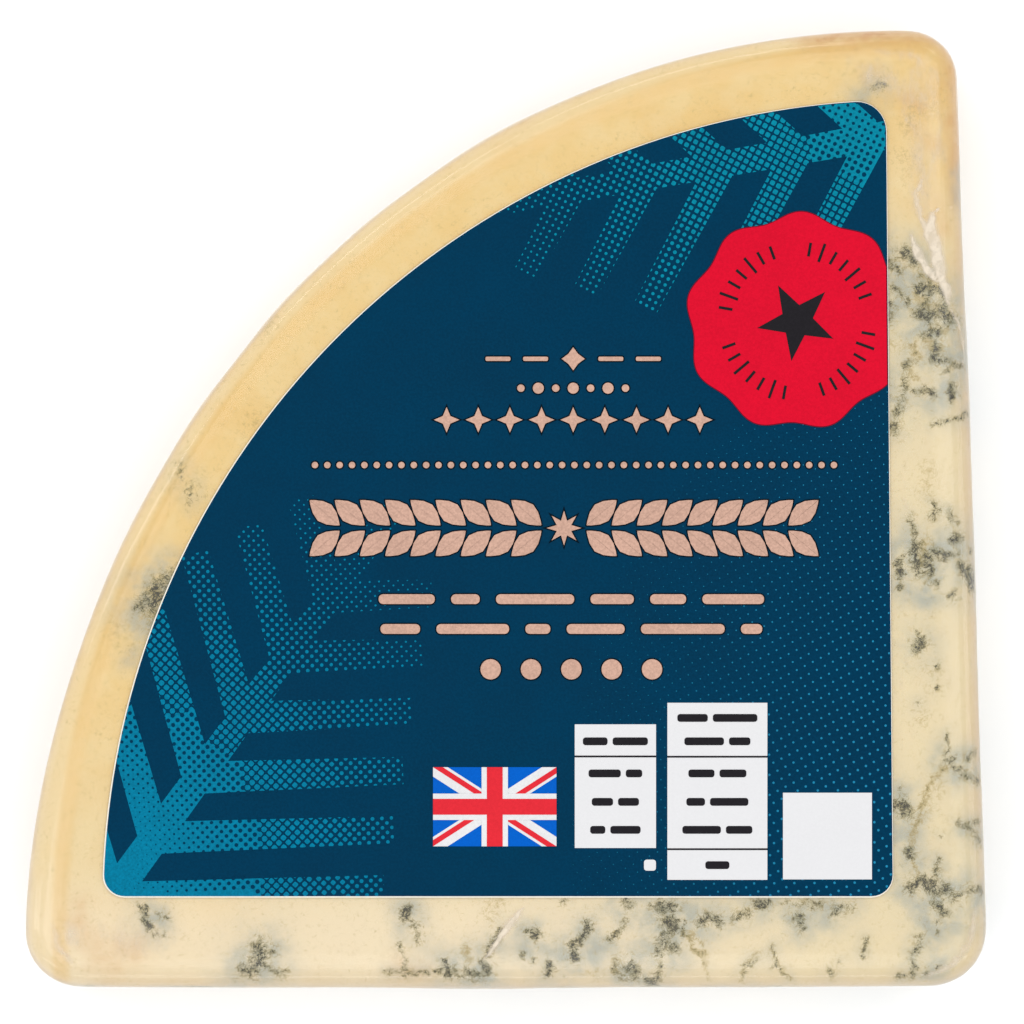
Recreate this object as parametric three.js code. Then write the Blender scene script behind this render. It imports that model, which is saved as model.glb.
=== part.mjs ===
// A quarter of a creamy blue cheese wheel: a flat slice cut across the wheel and then into four,
// sealed in tight clear film, with a printed paper label stuck on its upper face.
// Millimetres, +Z up. The quarter lies on its lower face with the label up. The straight cut faces
// look towards +X and -Y, and the round rim of the wheel towards -X and +Y. The origin is the
// middle of the bounding box, on the surface that the slice lies on.

import * as THREE from 'three';

// ---------------------------------------------------------------- driving dimensions

const wheel = {
  radius: 98.7, // from the wheel's axis to its rim
  thickness: 24, // height of the slice
};

const cut = {
  rightBeyondAxis: 5.08, // the +X cut face passes this far outside the wheel's axis
  rightLean: THREE.MathUtils.degToRad(1.97), // and leans inwards by this much towards the rim
  frontBeyondAxis: 6.8, // the -Y cut face passes this far outside the axis
  bow: 0.12, // the cut faces stand out by this much midway between their corners
  // The upright corners, softened by the tight film.
  corners: { frontRight: 6.3, backRight: 5.3, frontLeft: 6.0 },
  edgeRadius: 3, // the upper and lower edges all round
};

const rim = {
  drift: 1.15, // the rim's -Y end stands out of a true circle by this much, and its +X end in
  sway: 0.75, // and it wavers about that by this much, once along the quarter
};

const side = {
  bulge: 0.45, // the sides belly out by this much at half height
  unevenness: 0.16, // height of the gentle waves that the film follows
  wavesRound: 11, // waves in a full turn round the slice
  swellsRound: 3, // and how often in that turn they swell and fade
};

const label = {
  thickness: 0.2,
  radius: 87.78, // of its round edge
  centre: new THREE.Vector2(-3.6, 2.23), // of its round edge, from the wheel's axis
  rightInsideAxis: 5.08, // its +X edge runs this far inside the wheel's axis
  rightLean: THREE.MathUtils.degToRad(0.5),
  frontInsideAxis: 3.0, // its -Y edge runs this far inside the axis
  bow: 0, // its straight edges are cut straight
  corners: { frontRight: 2.4, backRight: 3.3, frontLeft: 2.4 },
};

// Segments of each stretch of an outline, in the order in which it is drawn.
const wedgeSegments = { corner: 8, right: 16, rim: 72, front: 16 };
const labelSegments = { corner: 8, right: 1, rim: 72, front: 1 };
const edgeSegments = 5;
const heightSegments = 6;

// ---------------------------------------------------------------- finishes

const filmedCheese = new THREE.MeshStandardMaterial({
  name: 'filmed_cheese',
  color: 0xf0ddac,
  roughness: 0.3,
  metalness: 0,
});

const printedLabel = new THREE.MeshStandardMaterial({
  name: 'printed_label',
  color: 0x003c5a,
  roughness: 0.55,
  metalness: 0,
});

// ---------------------------------------------------------------- outlines

// A nearly straight edge that stands out by bow at its middle. The slice lies on its left.
function bowedEdge(start, end, bow) {
  const outward = new THREE.Vector2(end.y - start.y, start.x - end.x).normalize();
  const control = start.clone().lerp(end, 0.5).addScaledVector(outward, 2 * bow);
  return new THREE.QuadraticBezierCurve(start, control, end);
}

// A quarter of a disc with rounded corners, drawn anticlockwise from its -Y, +X corner.
// right and front give where the straight edges run, measured from the wheel's axis.
function quarterOutline({ centre, radius, right, lean, front, bow, corners }, segments) {
  const along = new THREE.Vector2(-Math.sin(lean), Math.cos(lean));
  const inward = new THREE.Vector2(-Math.cos(lean), -Math.sin(lean));
  const insideRight = (depth) => new THREE.Vector2(right, 0).addScaledVector(inward, depth);

  // Each corner's centre lies one corner radius inside the two edges that it joins.
  const frontRight = insideRight(corners.frontRight);
  const rise = (front + corners.frontRight - frontRight.y) / along.y;
  frontRight.addScaledVector(along, rise);

  const backRight = insideRight(corners.backRight);
  const fromCentre = backRight.clone().sub(centre);
  const halfChord = Math.sqrt(
    (radius - corners.backRight) ** 2 - fromCentre.lengthSq() + fromCentre.dot(along) ** 2,
  );
  backRight.addScaledVector(along, halfChord - fromCentre.dot(along));

  const frontLeft = new THREE.Vector2(0, front + corners.frontLeft);
  const drop = frontLeft.y - centre.y;
  frontLeft.x = centre.x - Math.sqrt((radius - corners.frontLeft) ** 2 - drop ** 2);

  const angleOf = (point) => Math.atan2(point.y - centre.y, point.x - centre.x);
  const rimStart = angleOf(backRight);
  const rimEnd = THREE.MathUtils.euclideanModulo(angleOf(frontLeft), 2 * Math.PI);
  const arc = (middlePoint, size, from, to) =>
    new THREE.EllipseCurve(middlePoint.x, middlePoint.y, size, size, from, to);

  const frontRightArc = arc(frontRight, corners.frontRight, -Math.PI / 2, lean);
  const backRightArc = arc(backRight, corners.backRight, lean, rimStart);
  const frontLeftArc = arc(frontLeft, corners.frontLeft, rimEnd, 1.5 * Math.PI);
  const rimArc = arc(centre, radius, rimStart, rimEnd);
  const rightEdge = bowedEdge(frontRightArc.getPoint(1), backRightArc.getPoint(0), bow);
  const frontEdge = bowedEdge(frontLeftArc.getPoint(1), frontRightArc.getPoint(0), bow);

  return [
    frontRightArc.getPoints(segments.corner).slice(1),
    rightEdge.getPoints(segments.right).slice(1),
    backRightArc.getPoints(segments.corner).slice(1),
    rimArc.getPoints(segments.rim).slice(1),
    frontLeftArc.getPoints(segments.corner).slice(1),
    frontEdge.getPoints(segments.front).slice(1),
  ].flat();
}

// ---------------------------------------------------------------- the wrapped slice

// How far the rim stands out of a true circle, by its place along the quarter (-1 to 1).
function rimSlump(place) {
  return rim.drift * place - rim.sway * Math.sin(Math.PI * place);
}

// Moves a point of the plain slice to where the soft, film-hugged cheese has it.
function settle(point) {
  const fromAxis = Math.hypot(point.x, point.y);
  const turn = THREE.MathUtils.euclideanModulo(Math.atan2(point.y, point.x), 2 * Math.PI);
  const place = THREE.MathUtils.clamp((turn - 0.75 * Math.PI) / (0.25 * Math.PI), -1, 1);
  const slump = rimSlump(place) * (fromAxis / wheel.radius) ** 3;
  point.x += Math.cos(turn) * slump;
  point.y += Math.sin(turn) * slump;

  const heart = new THREE.Vector2(-wheel.radius / 2, wheel.radius / 2);
  const outward = new THREE.Vector2(point.x, point.y).sub(heart).normalize();
  const upHeight = Math.sin((Math.PI * point.z) / wheel.thickness);
  const swell = Math.sin(side.swellsRound * outward.angle());
  const wave = swell * Math.sin(side.wavesRound * outward.angle());
  const belly = (side.bulge + side.unevenness * wave) * Math.max(0, upHeight);
  point.x += outward.x * belly;
  point.y += outward.y * belly;
}

function wrappedWedge() {
  const outline = quarterOutline(
    {
      centre: new THREE.Vector2(0, 0),
      radius: wheel.radius,
      right: cut.rightBeyondAxis,
      lean: cut.rightLean,
      front: -cut.frontBeyondAxis,
      bow: cut.bow,
      corners: cut.corners,
    },
    wedgeSegments,
  );
  const geometry = new THREE.ExtrudeGeometry(new THREE.Shape(outline), {
    depth: wheel.thickness - 2 * cut.edgeRadius,
    steps: heightSegments,
    bevelEnabled: true,
    bevelThickness: cut.edgeRadius,
    bevelSize: cut.edgeRadius,
    bevelOffset: -cut.edgeRadius,
    bevelSegments: edgeSegments,
  });
  geometry.translate(0, 0, cut.edgeRadius);

  const positions = geometry.getAttribute('position');
  const point = new THREE.Vector3();
  for (let i = 0; i < positions.count; i++) {
    point.fromBufferAttribute(positions, i);
    settle(point);
    positions.setXYZ(i, point.x, point.y, point.z);
  }
  geometry.computeVertexNormals();
  geometry.computeBoundingBox();

  const mesh = new THREE.Mesh(geometry, filmedCheese);
  mesh.name = 'wrapped_wedge';
  return mesh;
}

// ---------------------------------------------------------------- the label

function paperLabel() {
  const outline = quarterOutline(
    {
      centre: label.centre,
      radius: label.radius,
      right: -label.rightInsideAxis,
      lean: label.rightLean,
      front: label.frontInsideAxis,
      bow: label.bow,
      corners: label.corners,
    },
    labelSegments,
  );
  const geometry = new THREE.ExtrudeGeometry(new THREE.Shape(outline), {
    depth: label.thickness,
    bevelEnabled: false,
  });
  const mesh = new THREE.Mesh(geometry, printedLabel);
  mesh.name = 'label';
  mesh.position.z = wheel.thickness;
  return mesh;
}

// ---------------------------------------------------------------- the whole thing

const wedge = wrappedWedge();
const box = wedge.geometry.boundingBox;

const packedQuarter = new THREE.Group();
packedQuarter.add(wedge, paperLabel());
packedQuarter.position.set(-(box.min.x + box.max.x) / 2, -(box.min.y + box.max.y) / 2, 0);

export default packedQuarter;
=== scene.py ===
"""A film-wrapped wedge of blue-veined cheese with a printed paper label, laid out as a Blender add-on.

Each piece has its own operator, and the sizes and colours that a user would change are properties of
the scene. Everything is in metres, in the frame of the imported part.
"""

import math
import random
from typing import NamedTuple

import bmesh
import bpy
import numpy as np
from mathutils import Matrix, Vector, noise


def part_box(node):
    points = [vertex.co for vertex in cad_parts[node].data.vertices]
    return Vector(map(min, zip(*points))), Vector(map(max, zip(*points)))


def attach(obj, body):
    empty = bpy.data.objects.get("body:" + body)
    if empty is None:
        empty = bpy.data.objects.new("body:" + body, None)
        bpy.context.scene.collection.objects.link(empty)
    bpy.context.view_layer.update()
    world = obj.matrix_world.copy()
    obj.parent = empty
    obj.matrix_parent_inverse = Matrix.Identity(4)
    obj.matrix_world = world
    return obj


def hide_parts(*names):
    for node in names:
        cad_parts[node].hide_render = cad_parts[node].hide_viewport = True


bl_info = {
    "name": "Wrapped Cheese Wedge",
    "version": (1, 0, 0),
    "blender": (4, 5, 0),
    "location": "View3D > Sidebar > Cheese Wedge",
    "description": "Builds a film-wrapped wedge of blue cheese with its label, floor, lights and camera",
    "category": "Object",
}

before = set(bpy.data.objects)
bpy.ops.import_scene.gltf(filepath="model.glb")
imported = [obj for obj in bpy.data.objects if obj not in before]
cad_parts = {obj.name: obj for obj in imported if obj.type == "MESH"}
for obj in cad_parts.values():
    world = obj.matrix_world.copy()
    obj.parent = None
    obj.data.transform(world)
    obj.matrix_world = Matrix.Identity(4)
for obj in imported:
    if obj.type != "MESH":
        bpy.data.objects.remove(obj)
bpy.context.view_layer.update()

MM = 0.001
MERGE = 0.001 * MM
BLOCK = "wrapped_wedge"
LABEL = "label"

block_low, block_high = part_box(BLOCK)
label_low, label_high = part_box(LABEL)
TOP = block_high.z

# The wedge is a quarter of a wheel: its axis lies this far inside the right and the front edges.
WHEEL_AXIS = Vector((block_high.x - 5.5 * MM, block_low.y + 7.5 * MM, 0))


# ---------------------------------------------------------------- veins


class Vein(NamedTuple):
    """A line of mould in the paste: its kind, how far it reaches in mm, and the places it passes in mm."""

    kind: str
    reach: float
    path: tuple


class Growth(NamedTuple):
    """How dark, hazy, ochre and amber a kind of vein is, and how wide its haze is next to its reach."""

    mould: float
    haze: float
    ochre: float
    spread: float
    amber: float = 0.0


GROWTHS = {
    "mould": Growth(mould=1.0, haze=0.58, ochre=0.62, spread=3.0),
    "thread": Growth(mould=0.78, haze=0.32, ochre=0.62, spread=3.2),
    "speck": Growth(mould=0.90, haze=0.26, ochre=0.66, spread=2.6),
    "ochre": Growth(mould=0.42, haze=0.05, ochre=1.00, spread=1.6),
    "crease": Growth(mould=0.52, haze=0.12, ochre=1.00, spread=3.4),
    "stain": Growth(mould=0.00, haze=0.00, ochre=0.45, spread=1.0),
    "haze": Growth(mould=0.14, haze=0.76, ochre=0.00, spread=1.15),
    "blush": Growth(mould=0.00, haze=0.00, ochre=0.00, spread=1.0, amber=0.15),
    "peach": Growth(mould=0.00, haze=0.00, ochre=0.00, spread=1.0, amber=0.32),
    "amber": Growth(mould=0.00, haze=0.00, ochre=0.00, spread=1.0, amber=0.60),
    "rust": Growth(mould=0.00, haze=0.00, ochre=0.00, spread=1.0, amber=1.00),
}


def vein(kind, reach, *path):
    """One vein of a kind in GROWTHS through places on the top, in mm from the block's middle."""
    return Vein(kind, reach, path)


# The right-hand margin, from the back corner to the front.
RIGHT_VEINS = (
    vein("amber", 1.2, (48.2, 50.4), (49.0, 46.0), (49.4, 40.0), (49.6, 34.5)),
    vein("blush", 1.1, (49.8, 30.0), (50.4, 14.0), (50.9, 1.0), (51.3, -12.0), (51.8, -36.0)),
    vein("peach", 0.9, (44.9, 41.7), (46.8, 39.8)),
    vein("peach", 0.8, (43.6, 44.6), (44.6, 44.2)),
    vein("peach", 1.1, (46.9, 33.4), (47.4, 30.6)),
    vein("speck", 0.7, (40.8, 46.5)),
    vein("haze", 1.9, (39.4, 45.1)),
    vein("stain", 1.0, (43.3, 38.3), (44.3, 37.9)),
    vein("stain", 0.9, (43.8, 42.0), (44.9, 43.6)),
    vein("haze", 1.0, (49.6, 36.8), (49.9, 33.5)),
    vein("mould", 0.8, (43.1, 28.2), (44.6, 27.3)),
    vein("haze", 2.2, (42.0, 27.8), (43.6, 26.4)),
    vein("thread", 0.6, (41.7, 26.9), (42.8, 25.9)),
    vein("thread", 0.5, (42.0, 24.4), (43.5, 23.2), (43.8, 22.6)),
    vein("haze", 1.7, (42.0, 24.8), (42.6, 21.6)),
    vein("speck", 0.5, (45.1, 25.7)),
    vein("thread", 0.5, (46.1, 25.1), (46.0, 22.6)),
    vein("mould", 0.8, (44.9, 24.2), (46.1, 24.0), (47.5, 23.7)),
    vein("mould", 1.1, (45.5, 21.6), (46.0, 20.9)),
    vein("mould", 1.1, (47.5, 21.7), (48.3, 20.9)),
    vein("ochre", 0.9, (46.2, 22.0), (47.2, 21.6)),
    vein("ochre", 0.7, (44.6, 23.6), (46.0, 23.0)),
    vein("ochre", 0.6, (46.2, 20.0), (47.8, 19.6)),
    vein("ochre", 0.8, (45.4, 25.6), (46.6, 24.6)),
    vein("ochre", 0.7, (45.8, 18.4), (47.4, 17.6)),
    vein("mould", 0.8, (45.7, 19.3), (47.3, 19.5)),
    vein("haze", 2.3, (46.8, 20.4), (47.2, 18.6)),
    vein("speck", 0.5, (45.5, 18.9)),
    vein("speck", 0.8, (41.8, 22.4)),
    vein("speck", 0.7, (41.8, 21.0)),
    vein("mould", 0.6, (47.0, 18.1), (47.1, 17.5)),
    vein("mould", 0.7, (46.5, 16.7), (46.9, 16.6)),
    vein("thread", 0.6, (46.9, 16.6), (48.3, 16.3), (49.5, 15.8)),
    vein("haze", 1.5, (48.6, 16.1), (50.3, 16.0)),
    vein("thread", 0.5, (47.8, 15.0), (48.3, 15.4)),
    vein("crease", 0.4, (44.4, 17.8), (44.7, 16.5), (43.8, 15.4)),
    vein("speck", 0.5, (43.7, 15.5), (44.3, 16.0)),
    vein("stain", 0.8, (41.6, 18.4), (44.0, 17.9)),
    vein("crease", 0.3, (43.8, 15.4), (45.1, 14.3)),
    vein("thread", 0.6, (43.6, 14.6), (43.3, 13.4), (43.0, 12.1), (42.8, 10.3)),
    vein("haze", 1.6, (42.3, 14.0), (42.4, 11.6)),
    vein("thread", 0.35, (43.6, 13.2), (45.6, 12.7)),
    vein("mould", 0.6, (45.7, 13.0), (46.4, 13.0)),
    vein("mould", 0.6, (48.6, 13.3), (48.7, 12.2)),
    vein("haze", 1.6, (47.3, 11.8), (48.6, 12.8)),
    vein("thread", 0.4, (46.6, 9.2), (49.8, 10.0), (50.5, 10.5)),
    vein("speck", 0.8, (42.2, 9.0)),
    vein("stain", 0.9, (46.2, 4.4)),
    vein("stain", 0.9, (45.8, 2.4)),
    vein("thread", 0.35, (46.4, 0.8), (46.9, 0.0), (46.2, -0.7)),
    vein("thread", 0.40, (48.1, -0.1), (48.6, -0.9), (49.4, -1.2)),
    vein("stain", 0.5, (48.4, -2.1)),
    vein("mould", 0.7, (48.8, -3.1), (49.3, -2.9)),
    vein("thread", 0.55, (44.1, -1.0), (44.5, -2.5), (44.8, -3.4)),
    vein("mould", 0.9, (44.5, -4.5), (44.9, -4.0)),
    vein("mould", 0.7, (44.7, -4.8), (44.8, -6.8)),
    vein("ochre", 0.9, (45.4, -3.9), (45.5, -5.0)),
    vein("mould", 0.7, (45.9, -5.0), (46.2, -6.8)),
    vein("thread", 0.5, (43.0, -5.4), (44.0, -4.8)),
    vein("mould", 0.6, (42.9, -5.7), (43.0, -7.0)),
    vein("mould", 0.7, (46.9, -4.5), (47.6, -5.0)),
    vein("thread", 0.5, (47.6, -5.0), (49.3, -4.8)),
    vein("haze", 2.3, (42.8, -7.3), (44.6, -7.2)),
    vein("haze", 2.3, (45.0, -5.8), (46.0, -7.0)),
    vein("haze", 1.9, (47.9, -6.4), (49.0, -6.0)),
    vein("mould", 0.8, (49.9, -6.3), (50.5, -7.2), (51.2, -8.3)),
    vein("thread", 0.6, (46.2, -7.9), (47.3, -8.1)),
    vein("speck", 0.5, (43.1, -8.6)),
    vein("speck", 0.6, (48.8, -9.4)),
    vein("haze", 1.2, (45.7, -9.6)),
    vein("speck", 0.5, (51.0, -4.3)),
    vein("speck", 0.5, (44.9, -13.5)),
    vein("mould", 0.8, (44.8, -15.1), (45.4, -14.4)),
    vein("speck", 0.5, (46.9, -16.8)),
    vein("stain", 0.7, (45.9, -17.5), (46.5, -17.2)),
    vein("stain", 0.7, (47.1, -19.3)),
    vein("speck", 0.45, (47.1, -19.2)),
    vein("speck", 0.45, (45.0, -21.2)),
    vein("stain", 0.9, (45.0, -22.9)),
    vein("thread", 0.35, (48.1, -24.6), (48.1, -26.0), (47.8, -26.4)),
    vein("mould", 0.7, (48.1, -27.2), (48.4, -27.3)),
    vein("thread", 0.6, (48.2, -27.2), (49.0, -28.0), (49.6, -28.3)),
    vein("haze", 1.7, (49.0, -28.3), (50.4, -27.9), (51.7, -27.9)),
    vein("thread", 0.5, (50.2, -27.2), (51.1, -26.5)),
    vein("thread", 0.6, (49.4, -28.4), (50.7, -29.0), (51.7, -29.3)),
    vein("haze", 1.1, (48.7, -29.2)),
    vein(
        "crease", 0.34,
        (48.0, -28.2), (46.5, -29.6), (45.6, -31.3), (44.9, -33.0), (44.4, -34.8), (44.1, -36.3),
    ),
    vein("crease", 0.22, (44.1, -36.3), (44.3, -38.3), (44.9, -39.9)),
    vein("stain", 0.9, (47.3, -29.4), (46.0, -31.3), (45.2, -33.4)),
    vein("mould", 0.9, (43.3, -31.8), (43.5, -32.9)),
    vein("speck", 0.8, (42.4, -32.2)),
    vein("haze", 1.5, (43.0, -32.3), (43.2, -34.0)),
    vein("mould", 0.7, (43.9, -37.1), (44.1, -37.8)),
    vein("haze", 1.6, (43.0, -36.0), (43.0, -38.4)),
    vein("speck", 0.35, (43.1, -30.4)),
    vein("thread", 0.5, (49.4, -34.1), (50.5, -34.8), (51.0, -35.3), (51.9, -36.4)),
    vein("thread", 0.4, (50.5, -34.7), (51.9, -33.9)),
    vein("haze", 1.2, (50.2, -35.2), (51.2, -36.0)),
    vein("speck", 0.35, (47.5, -35.4)),
    vein("thread", 0.5, (47.2, -38.2), (47.1, -39.9)),
    vein("mould", 0.9, (44.1, -40.9), (45.3, -40.3), (46.2, -41.1), (48.1, -41.4)),
    vein("thread", 0.7, (48.8, -42.0), (50.4, -41.8), (51.3, -41.2)),
    vein("haze", 2.0, (45.2, -41.4), (48.2, -42.2), (50.6, -42.0)),
    vein("speck", 0.6, (51.9, -41.4)),
    vein("haze", 2.4, (47.6, -43.2), (48.6, -44.0)),
    vein("haze", 1.8, (46.8, -43.6), (46.2, -45.4)),
    vein("haze", 1.5, (45.9, -48.6), (47.2, -49.5)),
    vein("mould", 0.7, (46.9, -42.8), (47.8, -43.8)),
    vein("speck", 0.4, (47.0, -45.1)),
    vein("speck", 0.35, (47.2, -45.9)),
    vein("thread", 0.45, (45.2, -46.4), (44.7, -48.3), (44.3, -50.4), (44.1, -51.2)),
    vein("speck", 0.5, (43.1, -50.9)),
    vein("speck", 0.5, (45.7, -50.4)),
    vein("speck", 0.4, (47.0, -50.0)),
    vein("haze", 1.5, (46.0, -49.6)),
)

# The front margin, from the right-hand corner to the left.
FRONT_VEINS = (
    vein("thread", 0.35, (39.1, -46.7), (39.2, -48.6)),
    vein("stain", 0.7, (36.5, -49.2)),
    vein("speck", 0.35, (36.5, -49.2)),
    vein("thread", 0.35, (35.6, -50.9), (35.2, -50.4)),
    vein("thread", 0.6, (36.2, -43.0), (37.4, -43.2)),
    vein("mould", 0.6, (35.9, -44.1), (36.2, -43.6)),
    vein("haze", 1.5, (35.2, -43.6), (36.2, -43.4)),
    vein("thread", 0.6, (33.1, -42.8), (34.2, -43.0)),
    vein("thread", 0.6, (31.0, -42.9), (31.9, -42.9)),
    vein("mould", 0.6, (31.9, -44.4), (32.2, -45.5)),
    vein("haze", 1.5, (31.4, -44.0), (32.0, -45.2)),
    vein("mould", 0.7, (27.5, -42.9), (28.3, -42.9)),
    vein("haze", 1.1, (28.0, -43.1)),
    vein("thread", 0.3, (29.0, -47.7), (29.4, -49.8), (30.7, -50.9)),
    vein("crease", 0.24, (28.9, -48.2), (29.6, -49.7), (30.9, -51.0)),
    vein("stain", 0.6, (27.1, -48.4)),
    vein("thread", 0.35, (27.0, -49.0), (26.1, -49.8), (26.1, -51.0)),
    vein("crease", 0.24, (27.2, -48.2), (26.1, -49.8), (25.8, -51.5)),
    vein("thread", 0.45, (24.7, -44.3), (25.5, -44.1), (26.4, -44.0)),
    vein("mould", 0.7, (21.2, -45.2), (22.1, -44.3), (23.3, -44.9)),
    vein("haze", 1.6, (21.8, -44.9), (23.0, -45.0)),
    vein("crease", 0.24, (19.6, -45.8), (20.2, -47.8), (20.9, -48.6), (21.8, -49.8), (21.9, -50.8)),
    vein("crease", 0.22, (20.2, -46.2), (21.4, -47.6), (21.9, -49.6)),
    vein("thread", 0.45, (19.4, -44.9), (19.5, -46.4)),
    vein("mould", 0.9, (17.2, -43.5), (17.9, -43.4)),
    vein("haze", 2.3, (17.7, -44.4), (17.6, -46.4)),
    vein("mould", 1.0, (17.6, -44.9), (18.4, -45.3)),
    vein("mould", 0.8, (17.3, -46.4), (16.9, -47.9)),
    vein("mould", 0.7, (18.1, -47.6), (18.5, -47.8)),
    vein("haze", 1.4, (17.6, -47.6)),
    vein("thread", 0.45, (15.7, -43.4), (16.3, -43.6)),
    vein("thread", 0.4, (16.8, -49.2), (16.8, -50.1), (16.3, -51.4)),
    vein("mould", 0.7, (15.5, -51.4), (16.5, -51.5)),
    vein("thread", 0.5, (12.0, -49.2), (11.7, -50.1), (12.9, -51.0), (14.2, -51.1)),
    vein("ochre", 0.5, (12.0, -49.2), (11.7, -50.1)),
    vein("mould", 0.7, (13.4, -49.8), (14.0, -50.4)),
    vein("haze", 1.5, (13.2, -50.0)),
    vein("mould", 0.8, (13.1, -42.7), (13.4, -43.1)),
    vein("haze", 1.3, (12.5, -43.2)),
    vein("thread", 0.55, (12.9, -44.9), (12.3, -45.8), (11.2, -46.8)),
    vein("haze", 1.6, (9.5, -48.4), (11.0, -47.2)),
    vein("stain", 0.9, (9.6, -50.4)),
    vein("mould", 0.6, (8.8, -45.1), (8.9, -45.8), (8.2, -46.9)),
    vein("haze", 1.2, (8.5, -46.0)),
    vein("mould", 0.6, (7.3, -47.5), (7.4, -48.7)),
    vein("haze", 1.5, (6.2, -49.0), (7.6, -48.6)),
    vein("speck", 0.5, (6.2, -42.6)),
    vein("mould", 0.6, (4.8, -49.6), (4.5, -50.6)),
    vein("mould", 0.7, (2.8, -46.2), (3.1, -46.4)),
    vein("haze", 1.7, (2.7, -47.2)),
    vein("speck", 0.4, (2.1, -48.0)),
    vein("speck", 0.4, (1.8, -48.8)),
    vein("speck", 0.35, (2.9, -48.9)),
    vein("thread", 0.6, (-0.8, -45.8), (-1.6, -47.4), (-2.2, -48.6)),
    vein("haze", 1.1, (-1.5, -47.2)),
    vein("stain", 1.0, (-0.9, -42.6), (-1.7, -43.8)),
    vein("mould", 0.8, (-6.6, -49.6), (-6.2, -50.5)),
    vein("thread", 0.5, (-5.6, -49.8), (-5.0, -50.8)),
    vein("ochre", 0.5, (-4.4, -48.0), (-4.2, -49.0)),
    vein("mould", 0.7, (-4.0, -50.8), (-2.9, -51.0)),
    vein("mould", 0.6, (-2.5, -49.4), (-1.9, -50.4)),
    vein("haze", 1.9, (-4.6, -50.0), (-2.6, -50.2)),
    vein("thread", 0.35, (-13.1, -50.2), (-9.1, -50.6), (-7.2, -50.4)),
    vein("mould", 0.6, (-10.8, -43.4), (-10.7, -44.5)),
    vein("haze", 1.3, (-10.6, -44.2)),
    vein("thread", 0.5, (-10.3, -45.0), (-9.7, -45.8), (-9.6, -47.0)),
    vein("thread", 0.4, (-11.6, -47.4), (-11.0, -48.9), (-10.9, -49.8)),
    vein("mould", 1.1, (-26.8, -47.8), (-27.3, -49.3)),
    vein("mould", 1.0, (-27.2, -49.5), (-28.3, -50.3)),
    vein("thread", 0.45, (-26.8, -47.7), (-25.4, -48.2)),
    vein("thread", 0.45, (-26.6, -49.8), (-25.4, -50.1), (-24.1, -50.4)),
    vein("haze", 1.2, (-26.7, -49.0), (-27.2, -49.8)),
    vein("mould", 0.6, (-39.5, -43.4), (-39.0, -45.4)),
    vein("speck", 0.4, (-37.7, -44.1)),
    vein("speck", 0.35, (-36.7, -44.3)),
    vein("speck", 0.45, (-38.3, -46.4)),
    vein("speck", 0.4, (-37.4, -46.3)),
    vein("haze", 1.3, (-38.0, -44.6), (-37.6, -45.8)),
    vein("peach", 1.3, (-40.7, -48.1), (-42.4, -47.9)),
    vein("peach", 1.2, (-46.6, -44.9), (-45.9, -46.4), (-44.6, -47.6)),
    vein("peach", 0.9, (-46.4, -43.0)),
    vein("peach", 1.3, (-44.4, -48.9), (-42.8, -49.4)),
    vein("peach", 1.2, (-11.4, -49.9), (-9.6, -50.2)),
)

# The margin along the rim, from the front corner round to the back.
RIM_VEINS = (
    vein("mould", 1.1, (-39.7, -10.3), (-38.9, -9.7), (-37.7, -8.2)),
    vein("mould", 1.1, (-38.6, -10.2), (-37.8, -9.4)),
    vein("thread", 0.8, (-38.2, -12.4), (-38.0, -11.0), (-38.3, -8.9)),
    vein("mould", 0.6, (-37.0, -7.3), (-36.6, -6.5)),
    vein("ochre", 0.7, (-38.8, -11.7)),
    vein("haze", 1.7, (-38.6, -9.9), (-38.7, -12.5)),
    vein("stain", 1.6, (-42.0, -13.4)),
    vein("haze", 1.2, (-40.8, -16.2)),
    vein("thread", 0.5, (-35.6, 4.9), (-35.1, 3.6)),
    vein("thread", 0.5, (-34.5, 2.2), (-33.9, 0.6)),
    vein("stain", 1.6, (-35.0, 3.0)),
    vein("stain", 1.2, (-27.4, 9.8)),
    vein("stain", 1.2, (-26.3, 20.2)),
    vein("rust", 0.75, (42.6, 51.9), (40.0, 51.9), (37.0, 51.8), (34.4, 51.5)),
    vein("amber", 1.3, (46.4, 51.6), (40.0, 51.9), (33.0, 51.4)),
)


class Fold(NamedTuple):
    """A fold of the film, or a painted highlight on it: half its width and its height in mm, how milky it is,
    and its path in mm.
    """

    width: float
    height: float
    milk_and_highlight: float
    path: tuple
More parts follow.
